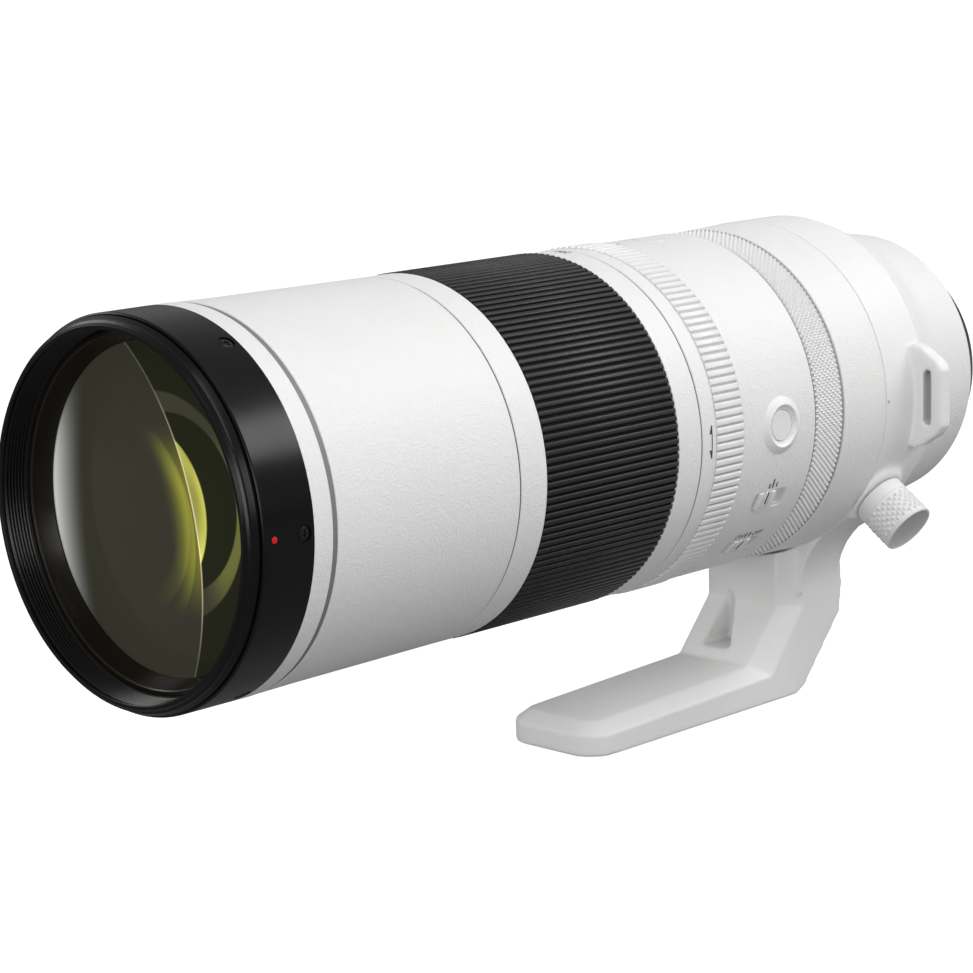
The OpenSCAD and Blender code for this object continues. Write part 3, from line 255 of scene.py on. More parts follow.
print("a square with round corners has", len(rounded(tube(0, 1, 1, 2), 0.2)), "points")

# %% [markdown]
# ## Turned shells
# A lathe turns such a piece from a bar. Here the outline is spun round Y in 256 steps, which
# leaves no corners that a close view could show. A Screw modifier could do it too, but own rings
# of vertices are plain to follow, and the same skin serves other forms below. Each finished
# piece then rides on one body of the frame.

# %% From outline to finished piece
SEGMENTS = 256
SAME_POINT = 0.0005


def join_rings(bm, rings, closed=True):
    """Skins one ring of vertices to the next; a closed set joins the last to the first."""
    for one, two in zip(rings, rings[1:] + rings[:1] if closed else rings[1:]):
        for i in range(len(one)):
            j = (i + 1) % len(one)
            bm.faces.new((one[i], one[j], two[j], two[i]))


def turned_bmesh(points, segments=SEGMENTS):
    """A closed outline of (y, radius) points spun round Y, in millimetres."""
    bm = bmesh.new()
    rings = []
    for k in range(segments):
        a = 2 * math.pi * k / segments
        rings.append([bm.verts.new((p[1] * math.cos(a), p[0], p[1] * math.sin(a)))
                      for p in points])
    join_rings(bm, rings)
    return bm


def finish_mesh(name, bm, material, smooth=40.0, recalc=True):
    """A finished object in metres from a bmesh in millimetres."""
    bmesh.ops.remove_doubles(bm, verts=bm.verts, dist=SAME_POINT)
    if recalc:
        bmesh.ops.recalc_face_normals(bm, faces=bm.faces)
    bmesh.ops.scale(bm, vec=(MM, MM, MM), verts=bm.verts)
    mesh = bpy.data.meshes.new(name)
    bm.to_mesh(mesh)
    bm.free()
    mesh.polygons.foreach_set("use_smooth", [True] * len(mesh.polygons))
    mesh.set_sharp_from_angle(angle=math.radians(smooth))
    if material:
        mesh.materials.append(material)
    piece = bpy.data.objects.new(name, mesh)
    scene.collection.objects.link(piece)
    return piece


def place(piece, body, node=None):
    """The piece rides on its body, and stands for a CAD node where one is named."""
    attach(piece, body)
    if node:
        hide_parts(node)
    print(piece.name, "rides on", body, "with", len(piece.data.polygons), "faces")
    return piece


def turned(name, points, material, body, node=None, edge=0.3, segments=SEGMENTS):
    """A shell from its outline; edge is the rounding of corners that give none of their own."""
    piece = finish_mesh(name, turned_bmesh(rounded(points, edge), segments), material)
    return place(piece, body, node)


# %% [markdown]
# ## Grain
# The paint is a thick off-white powder coat, which dries with a fine grain. A picture of it would
# have to be wrapped on every shell. Noise on the object's own coordinates runs over all of them
# without a seam. The group gives the grain's height, and a slow mottle for tone and gloss.

# %% Shader helpers and the grain group
def new_group(name, inputs, outputs):
    """A shader group with its input and output nodes; inputs and outputs name their sockets."""
    tree = bpy.data.node_groups.new(name, "ShaderNodeTree")
    for title, kind, value in inputs:
        socket = tree.interface.new_socket(title, in_out="INPUT", socket_type=kind)
        socket.default_value = value
    for title, kind in outputs:
        tree.interface.new_socket(title, in_out="OUTPUT", socket_type=kind)
    return tree, tree.nodes.new("NodeGroupInput"), tree.nodes.new("NodeGroupOutput")


def feed(tree, socket, value):
    """Gives a socket a plain number, or links it to another node's output."""
    if isinstance(value, (int, float)):
        socket.default_value = value
    else:
        tree.links.new(value, socket)


def math_node(tree, operation, *values):
    node = tree.nodes.new("ShaderNodeMath")
    node.operation = operation
    for socket, value in zip(node.inputs, values):
        feed(tree, socket, value)
    return node.outputs[0]


def noise_of(tree, vector, scale, detail=2.0):
    noise = tree.nodes.new("ShaderNodeTexNoise")
    noise.inputs["Detail"].default_value = detail
    tree.links.new(vector, noise.inputs["Vector"])
    feed(tree, noise.inputs["Scale"], scale)
    return noise.outputs["Fac"]


BROAD_SCALE, BROAD_SHARE, MOTTLE_SCALE = 0.22, 0.6, 45.0
grain_group, g_in, g_out = new_group(
    "paint_grain", [("Scale", "NodeSocketFloat", 2000.0)],
    [("Height", "NodeSocketFloat"), ("Mottle", "NodeSocketFloat")])
coords = grain_group.nodes.new("ShaderNodeTexCoord").outputs["Object"]
fine = noise_of(grain_group, coords, g_in.outputs["Scale"], 3.0)
broad_scale = math_node(grain_group, "MULTIPLY", g_in.outputs["Scale"], BROAD_SCALE)
broad = noise_of(grain_group, coords, broad_scale)
height = math_node(grain_group, "ADD", fine,
                   math_node(grain_group, "MULTIPLY", broad, BROAD_SHARE))
grain_group.links.new(height, g_out.inputs["Height"])
grain_group.links.new(noise_of(grain_group, coords, MOTTLE_SCALE, 3.0), g_out.inputs["Mottle"])
print("grain group:", len(grain_group.nodes), "nodes")

# %% [markdown]
# ## Material maker
# Paint, plastic, rubber and bare metal differ here only in colour, gloss, grain and metal. Each
# could be built by hand in the shader editor, but one function keeps them alike. It feeds the
# slow mottle to the colour and the roughness, and the fine grain to the bump.

# %% Material maker
GLOSS_SPREAD, BUMP_DISTANCE = 0.05, 0.00022


def simple(name, color, roughness, metallic=0.0, grain=0.0, grain_scale=2000.0, mottle=0.06,
           coat=0.0, specular=0.5):
    """A Principled material with grain in its bump and a slow change of tone and gloss."""
    m = bpy.data.materials.new(name)
    m.use_nodes = True
    tree = m.node_tree
    shader = tree.nodes["Principled BSDF"]
    shader.inputs["Metallic"].default_value = metallic
    shader.inputs["Coat Weight"].default_value = coat
    shader.inputs["Specular IOR Level"].default_value = specular
    group = tree.nodes.new("ShaderNodeGroup")
    group.node_tree = grain_group
    group.inputs["Scale"].default_value = grain_scale
    tone = tree.nodes.new("ShaderNodeMix")
    tone.data_type = "RGBA"
    tone.inputs["A"].default_value = (*(c * (1 - mottle) for c in color), 1)
    tone.inputs["B"].default_value = (*color, 1)
    tree.links.new(group.outputs["Mottle"], tone.inputs["Factor"])
    tree.links.new(tone.outputs["Result"], shader.inputs["Base Color"])
    gloss = tree.nodes.new("ShaderNodeMapRange")
    gloss.inputs["To Min"].default_value = roughness - GLOSS_SPREAD
    gloss.inputs["To Max"].default_value = roughness + GLOSS_SPREAD
    tree.links.new(group.outputs["Mottle"], gloss.inputs["Value"])
    tree.links.new(gloss.outputs[0], shader.inputs["Roughness"])
    if grain:
        bump = tree.nodes.new("ShaderNodeBump")
        bump.inputs["Strength"].default_value = grain
        bump.inputs["Distance"].default_value = BUMP_DISTANCE
        tree.links.new(group.outputs["Height"], bump.inputs["Height"])
        tree.links.new(bump.outputs[0], shader.inputs["Normal"])
    return m


# %% [markdown]
# ## Paints, plastics, rubber and metals
# The white paint has the strongest grain on the large shells and less on the fine ribs, where a
# thick coat would fill them. The grooves get a darker grey, painted shade, because little light
# reaches them. The seams, the rubber between its ribs and the knob's dish are darkened the same
# way. The tones were set by comparing grey values of the render and the photograph.

# %% Paints, plastics, rubber and metals
WHITE = (0.80, 0.80, 0.795)
white_paint = simple("white_paint", WHITE, 0.50, grain=1.0, grain_scale=1700, mottle=0.02)
fine_paint = simple("fine_paint", WHITE, 0.46, grain=0.2, grain_scale=2600, mottle=0.02)
# painted shade: the grey for grooves, slot walls, one seam and the dimple
groove_shade_paint = simple("groove_shade_paint", (0.46, 0.46, 0.46), 0.6, grain=0.2, mottle=0.05)
casting_paint = simple("casting_paint", WHITE, 0.52, grain=0.6, grain_scale=1700, mottle=0.02)
white_plastic = simple("white_plastic", (0.74, 0.74, 0.735), 0.45, grain=0.25, grain_scale=2500,
                       mottle=0.03)
# painted shade: the grey of the knob's hollow dish
dish_shade_plastic = simple("dish_shade_plastic", (0.54, 0.54, 0.54), 0.5, grain=0.25, mottle=0.04)
black_paint = simple("black_paint", (0.0035, 0.0035, 0.0035), 0.23, grain=0.06, grain_scale=2500,
                     mottle=0.15, specular=0.19)
black_gloss = simple("black_gloss", (0.009, 0.007, 0.004), 0.24, mottle=0.1, specular=0.28)
black_matt = simple("black_matt", (0.006, 0.006, 0.006), 0.6, grain=0.2, mottle=0.1)
rubber = simple("grip_rubber", (0.012, 0.012, 0.012), 0.46, grain=0.5, grain_scale=1800,
                mottle=0.2, specular=0.45)
# painted shade: black rubber made darker still between the ribs
rubber_base = simple("rubber_groove_shade", (0.004, 0.004, 0.004), 0.8, grain=0.3, mottle=0.2,
                     specular=0.2)
steel = simple("steel", (0.62, 0.62, 0.61), 0.28, 1.0, grain=0.15, grain_scale=3000)
alloy = simple("alloy", (0.50, 0.50, 0.51), 0.38, 1.0, grain=0.2, grain_scale=2500)
brass = simple("brass", (0.72, 0.52, 0.22), 0.3, 1.0, grain=0.1)
board = simple("board", (0.02, 0.12, 0.05), 0.4, grain=0.3, grain_scale=900, mottle=0.4)
ink = simple("grey_ink", (0.055, 0.055, 0.055), 0.5, mottle=0.1)
black_ink = simple("black_ink", (0.01, 0.01, 0.01), 0.5, mottle=0.1)
# painted shade: the dark grey of the seam behind the front band
seam_shade_paint = simple("seam_shade_paint", (0.20, 0.20, 0.20), 0.55, mottle=0.05)
red_paint = simple("red_paint", (0.68, 0.002, 0.002), 0.35, mottle=0.08)
tube_paint = simple("tube_paint", (0.16, 0.16, 0.16), 0.42, grain=0.3, grain_scale=2500,
                    mottle=0.05)
inner_glass = simple("inner_glass", (0.010, 0.014, 0.012), 0.06, mottle=0.3, coat=1.0)
print("materials:", len(bpy.data.materials))

# %% [markdown]
# ## Light in the coated glass
# The coating mirrors the lamps as olive arcs, and each group behind the front glass adds its own.
# Real layers of glass would need many light paths, and they would still mirror another room. So
# circles were fitted to the arcs in the photograph, and shader maths draws them: a distance to a
# centre, then a soft step at a radius. Each arc is (centre X, centre Z, radius) in millimetres.

# %% Arcs and their maths
# The arcs are painted reflections of the lamps and of the glass groups inside.
LARGE_ARC, INNER_ARC = (-42.02, -10.8, 61.03), (-0.28, 0.31, 22.23)
BAND_INNER_ARC, BAND_OUTER_ARC = (9.08, 3.31, 22.82), (4.59, 1.76, 29.21)
NEAR_GLOW_ARC, FAR_GLOW_ARC = (-9.49, -2.16, 25.23), (-13.21, -5.12, 30.61)
reflection_tree, _, reflection_out = new_group("lens_painted_reflections", [], [("Color", "NodeSocketColor")])
on_glass = reflection_tree.nodes.new("ShaderNodeSeparateXYZ")
reflection_tree.links.new(reflection_tree.nodes.new("ShaderNodeTexCoord").outputs["Object"],
                       on_glass.inputs[0])
glass_x = math_node(reflection_tree, "MULTIPLY", on_glass.outputs["X"], 1 / MM)
glass_z = math_node(reflection_tree, "MULTIPLY", on_glass.outputs["Z"], 1 / MM)


def times(*masks):
    result = masks[0]
    for mask in masks[1:]:
        result = math_node(reflection_tree, "MULTIPLY", result, mask)
    return result


def distance_to(cx, cz):
    dx = math_node(reflection_tree, "SUBTRACT", glass_x, cx)
    dz = math_node(reflection_tree, "SUBTRACT", glass_z, cz)
    total = math_node(reflection_tree, "ADD", times(dx, dx), times(dz, dz))
    return math_node(reflection_tree, "SQRT", total)


def ramp(value, low, high, kind="SMOOTHSTEP"):
    """Goes from 0 at low to 1 at high, and high may be the smaller of the two."""
    node = reflection_tree.nodes.new("ShaderNodeMapRange")
    node.interpolation_type = kind
    for title, setting in (("From Min", min(low, high)), ("From Max", max(low, high)),
                           ("To Min", float(low >= high)), ("To Max", float(low < high))):
        node.inputs[title].default_value = setting
    reflection_tree.links.new(value, node.inputs["Value"])
    return node.outputs[0]


distances = {arc: distance_to(*arc[:2]) for arc in (
    LARGE_ARC, INNER_ARC, BAND_INNER_ARC, BAND_OUTER_ARC, NEAR_GLOW_ARC, FAR_GLOW_ARC)}
print("distances to", len(distances), "centres")

# %% [markdown]
# ## Masks of the glass
# A mask is 1 on its patch of light and fades to 0 round it. Each is a soft step at an arc, or
# between two columns or rows of the glass. Painting them as a picture would be quick, but a
# picture has pixels, and these stay smooth when the camera comes close.

# %% Masks of the glass
EDGE_SOFT, BAND_SOFT, LINE_HALF, GLOW_SOFT = 0.25, 0.3, 0.38, 0.5


def across(arc, start, end, kind="SMOOTHSTEP"):
    """A step across an arc, from 0 at its radius + start to 1 at its radius + end."""
    return ramp(distances[arc], arc[2] + start, arc[2] + end, kind)


def glow_to(arc, fade):
    """Light that grows towards the arc from its inner side and ends at it."""
    return times(across(arc, -fade, 0.0, "LINEAR"), across(arc, GLOW_SOFT, 0.0))


left_side = across(LARGE_ARC, EDGE_SOFT, -EDGE_SOFT)
right_side = across(LARGE_ARC, -EDGE_SOFT, EDGE_SOFT)
right_disc = times(right_side, across(INNER_ARC, EDGE_SOFT, -EDGE_SOFT))
band = times(across(BAND_OUTER_ARC, BAND_SOFT, -BAND_SOFT),
             across(BAND_INNER_ARC, -BAND_SOFT, BAND_SOFT), right_side)
large_line = times(across(LARGE_ARC, -LINE_HALF, 0.0), across(LARGE_ARC, LINE_HALF, 0.0))
middle_rows = times(ramp(glass_z, -27.0, -8.0), ramp(glass_z, 24.0, 8.0))
pale_rows = times(ramp(glass_z, 40.0, 10.0), ramp(glass_z, -50.0, -20.0))
pale_edge = ramp(glass_x, -26.5, -44.5, "LINEAR")
right_half = ramp(glass_x, -4.0, 8.0)
print("coating group:", len(reflection_tree.nodes), "nodes with the masks")

# %% [markdown]
# ## Colours of the glass
# Light adds up, so the colour of the painted reflections is a sum: each mask times its own tint.
# Mix nodes would hide one patch behind the next.

# %% Colours of the glass
# Each layer is one painted reflection with its tint.
LAYERS = (
    (left_side, (0.024, 0.024, 0.017)),
    (times(left_side, pale_edge, pale_edge, pale_rows), (0.52, 0.52, 0.52)),
    (times(left_side, across(LARGE_ARC, -10.0, 0.0), middle_rows), (0.085, 0.085, 0.004)),
    (times(left_side, glow_to(NEAR_GLOW_ARC, 5.0), middle_rows, right_half),
     (0.045, 0.045, 0.004)),
    (times(left_side, glow_to(FAR_GLOW_ARC, 4.0), middle_rows, right_half),
     (0.075, 0.075, 0.008)),
    (times(large_line, ramp(glass_z, -42.0, -5.0), ramp(glass_z, 36.0, 5.0)),
     (0.34, 0.25, 0.19)),
    (large_line, (0.05, 0.045, 0.04)),
    (right_disc, (0.075, 0.075, 0.018)),
    (times(right_disc, across(LARGE_ARC, 3.0, 0.0)), (0.13, 0.13, 0.03)),
    (times(right_disc, across(INNER_ARC, -4.0, 0.0), middle_rows), (0.30, 0.30, 0.05)),
    (right_side, (0.011, 0.012, 0.006)),
    (band, (0.020, 0.020, 0.014)),
    (times(band, ramp(glass_x, 19.0, 27.0), middle_rows), (0.07, 0.075, 0.01)))
summed = None
for mask, tint in LAYERS:
    layer = reflection_tree.nodes.new("ShaderNodeVectorMath")
    layer.operation = "SCALE"
    layer.inputs[0].default_value = tint
    reflection_tree.links.new(mask, layer.inputs["Scale"])
    if summed is None:
        summed = layer.outputs[0]
        continue
    add = reflection_tree.nodes.new("ShaderNodeVectorMath")
    add.operation = "ADD"
    reflection_tree.links.new(summed, add.inputs[0])
    reflection_tree.links.new(layer.outputs[0], add.inputs[1])
    summed = add.outputs[0]
reflection_tree.links.new(summed, reflection_out.inputs[0])
print("layers of light:", len(LAYERS))

# %% [markdown]
# ## Coated glass
# The glass is almost black with a clear gloss. The arcs are painted reflections; they go to the
# base colour and also to the emission, so the glass glows with them, because a mirrored lamp stays
# bright where the glass itself lies in shadow.

# %% Coated glass
front_glass_material = bpy.data.materials.new("glass_painted_reflections")
front_glass_material.use_nodes = True
gt = front_glass_material.node_tree
glass_shader = gt.nodes["Principled BSDF"]
# The emission lets the painted reflections glow.
for title, value in (("Roughness", 0.05), ("Specular IOR Level", 0.05),
                     ("Emission Strength", 0.75)):
    glass_shader.inputs[title].default_value = value
painted_reflections = gt.nodes.new("ShaderNodeGroup")
painted_reflections.node_tree = reflection_tree
for title in ("Base Color", "Emission Color"):
    gt.links.new(painted_reflections.outputs["Color"], glass_shader.inputs[title])
print(front_glass_material.name, "has", len(gt.nodes), "nodes")

# %% [markdown]
# ## One tree for all that repeats
# Ribs, knurls and screws stand in rows round the barrel. A loop in Python could copy them, but a
# Geometry Nodes tree shows the rule itself. It takes a small piece that points outwards along X
# and sets it round the axis, in as many rows as are asked for, with an offset from row to row.
# The result is made a plain mesh.

# %% Inputs of the pattern tree
PATTERN_INPUTS = (("Geometry", "Geometry", None), ("Piece", "Object", None), ("Count", "Int", 60),
                  ("Rows", "Int", 1), ("Radius", "Float", 0.05), ("First", "Float", 0.0),
                  ("Step", "Float", 0.001), ("Stagger", "Float", 0.0),
                  ("Material", "Material", None))
pattern_tree = bpy.data.node_groups.new("round_pattern", "GeometryNodeTree")
pattern_nodes, pattern_links = pattern_tree.nodes, pattern_tree.links
for title, kind, value in PATTERN_INPUTS:
    socket = pattern_tree.interface.new_socket(title, in_out="INPUT",
                                               socket_type="NodeSocket" + kind)
    if value is not None:
        socket.default_value = value
pattern_tree.interface.new_socket("Geometry", in_out="OUTPUT", socket_type="NodeSocketGeometry")
asked = pattern_nodes.new("NodeGroupInput").outputs
pattern_out = pattern_nodes.new("NodeGroupOutput")
print("inputs:", [title for title, _, _ in PATTERN_INPUTS])

# %% [markdown]
# ## The place of every copy
# One point is made for each copy. Its number gives its row and its column, and these give an
# angle round the axis and a station along it. Loops could work the places out too, but maths
# nodes do it for all points at once.

# %% The place of every copy
def calc(operation, *values):
    return math_node(pattern_tree, operation, *values)


index = pattern_nodes.new("GeometryNodeInputIndex").outputs[0]
points = pattern_nodes.new("GeometryNodePoints")
pattern_links.new(calc("MULTIPLY", asked["Count"], asked["Rows"]), points.inputs["Count"])
row = calc("FLOOR", calc("DIVIDE", calc("ADD", index, 0.5), asked["Count"]))
column = calc("MODULO", index, asked["Count"])
turn = calc("DIVIDE", calc("MULTIPLY_ADD", row, asked["Stagger"], column), asked["Count"])
angle = calc("MULTIPLY", turn, 2 * math.pi)
position = pattern_nodes.new("ShaderNodeCombineXYZ")
for socket, value in zip(position.inputs, (
        calc("MULTIPLY", calc("COSINE", angle), asked["Radius"]),
        calc("MULTIPLY_ADD", row, asked["Step"], asked["First"]),
        calc("MULTIPLY", calc("SINE", angle), asked["Radius"]))):
    pattern_links.new(value, socket)
pattern_links.new(position.outputs[0], points.inputs["Position"])
turned_by = pattern_nodes.new("ShaderNodeCombineXYZ")
pattern_links.new(calc("MULTIPLY", angle, -1.0), turned_by.inputs[1])
as_turn = pattern_nodes.new("FunctionNodeEulerToRotation")
pattern_links.new(turned_by.outputs[0], as_turn.inputs[0])
print("pattern tree:", len(pattern_nodes), "nodes for the places")

# %% [markdown]
# ## The copies
# The small piece is set on every point and turned with it. Instances are light, but only real
# faces can be exported and painted, so they are made real at the end.

# %% The copies
piece_info = pattern_nodes.new("GeometryNodeObjectInfo")
spread = pattern_nodes.new("GeometryNodeInstanceOnPoints")
real = pattern_nodes.new("GeometryNodeRealizeInstances")
paint = pattern_nodes.new("GeometryNodeSetMaterial")
for source, target in ((asked["Piece"], piece_info.inputs["Object"]),
                       (points.outputs[0], spread.inputs["Points"]),
                       (piece_info.outputs["Geometry"], spread.inputs["Instance"]),
                       (as_turn.outputs[0], spread.inputs["Rotation"]),
                       (spread.outputs[0], real.inputs[0]),
                       (real.outputs[0], paint.inputs["Geometry"]),
                       (asked["Material"], paint.inputs["Material"]),
                       (paint.outputs[0], pattern_out.inputs[0])):
    pattern_links.new(source, target)
print("pattern tree:", len(pattern_nodes), "nodes in all")

# %% [markdown]
# ## From tree to piece
# A piece that rides on a body has to be a plain mesh, so the tree is applied at once. A helper
# gives any object's mesh with its modifiers in it.

# %% Pattern as a plain mesh
LENGTHS = ("Radius", "First", "Step")


def evaluated_mesh(source):
    """A new mesh with the modifiers of the source applied."""
    ready = source.evaluated_get(bpy.context.evaluated_depsgraph_get())
    return bpy.data.meshes.new_from_object(ready)


def round_pattern(name, shape, material, **values):
    """The shape repeated round the axis, as one plain mesh; lengths are in millimetres."""
    host = bpy.data.objects.new(name + "_host", bpy.data.meshes.new(name))
    scene.collection.objects.link(host)
    modifier = host.modifiers.new("pattern", "NODES")
    modifier.node_group = pattern_tree
    keys = {item.name: item.identifier for item in pattern_tree.interface.items_tree
            if item.in_out == "INPUT"}
    modifier[keys["Piece"]] = shape
    modifier[keys["Material"]] = material
    for title, value in values.items():
        modifier[keys[title]] = value * MM if title in LENGTHS else value
    host.update_tag()
    mesh = evaluated_mesh(host)
    mesh.name = name
    bpy.data.objects.remove(host)
    bpy.data.objects.remove(shape)
    if not mesh.materials:
        mesh.materials.append(material)
    piece = bpy.data.objects.new(name, mesh)
    scene.collection.objects.link(piece)
    return piece


# %% [markdown]
# ## Rear skirt and smooth barrel
# Behind the collar a cone narrows to the mount, with a bevel that catches the light. Ahead of
# the collar lies a smooth stretch of the fixed barrel, a little wider at its rear. Both are
# turned from one outline each, with their bores, because the seams let the eye in.

# %% Rear skirt and smooth barrel
BORE_R, REAR_BORE_R = 46.6, 45
RING_WALL, BARREL_WALL, SKIRT_WALL = 2.4, 2.7, 2
SKIRT_FRONT_R, SKIRT_BEVEL_R, NECK_R, SKIRT_REAR_R = 51.05, 49.7, 45.0, 41.7
Y_SKIRT_REAR = rear_y("rear_skirt")
Y_NECK = Y_SKIRT_REAR - 22.5
turned("skirt_shell", [
    (Y_COLLAR, BORE_R), (Y_COLLAR, SKIRT_FRONT_R, 0.5), (Y_COLLAR + 4.2, SKIRT_BEVEL_R, 1.2),
    (Y_NECK, NECK_R, 3.0), (Y_SKIRT_REAR, SKIRT_REAR_R),
    (Y_SKIRT_REAR, SKIRT_REAR_R - SKIRT_WALL), (Y_NECK, NECK_R - SKIRT_WALL),
    (Y_COLLAR + 6, NECK_R - SKIRT_WALL), (Y_COLLAR + 6, BORE_R)],
       white_paint, "barrel", "rear_skirt", 0.35)
turned("rear_shell", [
    (Y_CONTROL + GAP / 2, BODY_R - BARREL_WALL), (Y_CONTROL + GAP / 2, BODY_R),
    (Y_CONTROL + 9, BODY_R + 0.25), (Y_REAR, HEAD_R - 0.02, 0.25), (Y_REAR, BORE_R),
    (Y_REAR - 7, BORE_R), (Y_REAR - 7, REAR_BORE_R), (Y_CONTROL + 10, REAR_BORE_R),
    (Y_CONTROL + 10, BODY_R - BARREL_WALL)],
       white_paint, "barrel", "rear_barrel")

# %% [markdown]
# ## Control ring
# The finger finds this ring by its knurl, small pyramids that two sets of slanting grooves leave
# standing. A bump texture would look flat at the barrel's edge, so each pyramid is real. Rows that
# step on by half a pyramid make the diamonds. The shell under them is grey, painted shade between
# the pyramids.

# %% Control ring with its knurl
KNURL_COUNT, KNURL_ROWS = 198, 12
KNURL_ACROSS, KNURL_HEIGHT, KNURL_FILL, KNURL_MARGIN = 1.56, 0.72, 0.97, 0.3
KNURL_STEP = 2 * (Y_CONTROL - Y_SWITCH - GAP - KNURL_MARGIN) / (KNURL_ROWS + 1)
CONTROL_DEPTH = 0.65


def pyramid_shape(along, across, height, flat=0.18):
    """A small diamond of the knurl, with a slightly flat top."""
    bm = bmesh.new()
    low = [bm.verts.new(p) for p in ((0, -along / 2, 0), (0, 0, across / 2),
                                     (0, along / 2, 0), (0, 0, -across / 2))]
    top = [bm.verts.new((height, v.co.y * flat, v.co.z * flat)) for v in low]
    for i in range(4):
        j = (i + 1) % 4
        bm.faces.new((low[i], low[j], top[j], top[i]))
    bm.faces.new(top)
    bm.faces.new(list(reversed(low)))
    return finish_mesh("shape", bm, white_paint, 10)


# The shell under the pyramids is painted grey as their shade.
turned("control_shell", tube(Y_SWITCH + GAP / 2, Y_CONTROL - GAP / 2, BODY_R - RING_WALL,
                             BODY_R - CONTROL_DEPTH),
       groove_shade_paint, "control", "control_ring", 0.12)
knurl = round_pattern(
    "control_knurl", pyramid_shape(KNURL_STEP * KNURL_FILL, KNURL_ACROSS, KNURL_HEIGHT),
    fine_paint, Count=KNURL_COUNT, Rows=KNURL_ROWS, Radius=BODY_R - CONTROL_DEPTH - 0.01,
    First=Y_SWITCH + GAP / 2 + KNURL_MARGIN + KNURL_STEP / 2, Step=KNURL_STEP / 2, Stagger=0.5)
place(knurl, "control")

# %% [markdown]
# ## Tension ring
# It sets how hard the zoom ring turns. Its grip is a row of straight ribs with sloping sides,
# milled into the ring. Here the ribs are pieces of their own on a thin grey band, so that the
# grooves between them can be painted darker, as painted shade.

# %% Tension ring with its ribs
TENSION_RIBS = 138
GRIP_LEN, RIB_WIDTH, RIB_HEIGHT, RIB_BEVEL, RIB_SLOPE = 11.5, 2.0, 0.62, 0.12, 0.34
Y_GRIP = Y_TENSION - 0.15 - GRIP_LEN
FLUSH_R = BODY_R - 0.02


def bar_shape(length, width, height, bevel, sink=0.3, end_bevel=None, slope=0.0):
    """A bar along Y with a rounded top, standing on X = 0; sink goes below the surface."""
    end = end_bevel if end_bevel is not None else bevel
    half, w = length / 2, width / 2
    t = w - slope
    section = [(-sink, -w), (0, -w), (height - bevel, -t), (height - bevel * 0.3, -t + bevel * 0.3),
               (height, -t + bevel), (height, t - bevel), (height - bevel * 0.3, t - bevel * 0.3),
               (height - bevel, t), (0, w), (-sink, w)]
    bm = bmesh.new()
    rows = []
    for y, inset in ((-half, end), (-half + end, 0), (half - end, 0), (half, end)):
        rows.append([bm.verts.new((min(x, height - inset) if inset else x, y, z))
                     for x, z in section])
    join_rings(bm, rows, closed=False)
    bm.faces.new(rows[0])
    bm.faces.new(rows[-1])
    return finish_mesh("shape", bm, white_paint, 50)


turned("tension_shell", tube(Y_ZOOM + GAP / 2, Y_TENSION - GAP / 2, BODY_R - RING_WALL,
                             FLUSH_R, 0.45, 0.3),
       white_paint, "tension", "tension_ring")
ribs = round_pattern(
    "tension_ribs", bar_shape(GRIP_LEN, RIB_WIDTH, RIB_HEIGHT, RIB_BEVEL, slope=RIB_SLOPE),
    fine_paint, Count=TENSION_RIBS, Radius=BODY_R - 0.12, First=Y_GRIP + GRIP_LEN / 2)
place(ribs, "tension")
# The grey band under the ribs is painted shade in the grooves.
turned("tension_grooves", tube(Y_GRIP - 0.12, Y_TENSION - GAP / 2 - 0.05, BODY_R - 1.0,
                               BODY_R + 0.01),
       groove_shade_paint, "tension", None, 0.02)

# %% [markdown]
# ## Zoom ring
# The widest grip is a rubber sleeve with ribs along the barrel, let into a shallow channel of the
# ring. The ribs are bars with round tops in the same tree as above. The sleeve under them is black
# rubber made darker still as painted shade, which makes the grooves look deep.

# %% Zoom ring and its rubber
RUBBER_RIBS = 150
RUBBER_RIB_WIDTH, RUBBER_RIB_HEIGHT, RUBBER_RIB_BEVEL = 1.34, 0.75, 0.36
RUBBER_R = BODY_R + 0.25
CHANNEL_R = BODY_R - 1.4
turned("zoom_shell", [
    (Y_SLEEVE + GAP / 2, BODY_R - RING_WALL), (Y_SLEEVE + GAP / 2, FLUSH_R, 0.45),
    (Y_RUBBER_FRONT, FLUSH_R, 0.2), (Y_RUBBER_FRONT, CHANNEL_R, 0.1),
    (Y_RUBBER_REAR, CHANNEL_R, 0.1), (Y_RUBBER_REAR, FLUSH_R, 0.2),
    (Y_ZOOM - GAP / 2, FLUSH_R, 0.45), (Y_ZOOM - GAP / 2, BODY_R - RING_WALL)],
       white_paint, "zoom", "zoom_ring")
# The sleeve under the ribs is darker as painted shade in the grooves.
turned("rubber_base", tube(Y_RUBBER_FRONT + 0.1, Y_RUBBER_REAR - 0.1, CHANNEL_R + 0.05,
                           RUBBER_R - RUBBER_RIB_HEIGHT),
       rubber_base, "zoom", "zoom_rubber", 0.1)
grip = round_pattern(
    "rubber_ribs", bar_shape(Y_RUBBER_REAR - Y_RUBBER_FRONT - 0.3, RUBBER_RIB_WIDTH,
                             RUBBER_RIB_HEIGHT, RUBBER_RIB_BEVEL, end_bevel=0.25),
    rubber, Count=RUBBER_RIBS, Radius=RUBBER_R - RUBBER_RIB_HEIGHT,
    First=(Y_RUBBER_FRONT + Y_RUBBER_REAR) / 2)
place(grip, "zoom")

# %% [markdown]
# ## Cutting
# Windows, button holes and screw pockets are milled into turned shells. A Boolean modifier does
# the same here, with prisms as the tools. It leaves uneven normals beside each cut, so the
# faces of the round surface get normals that point straight out from the axis again.

# %% Cutters
FACES_OUT = 0.9995


def at_angle(angle, y=0.0):
    """The matrix that turns a form made at angle zero, pointing out along X, to its place."""
    return Matrix.Rotation(math.radians(-angle), 4, "Y") @ Matrix.Translation((0, y, 0))


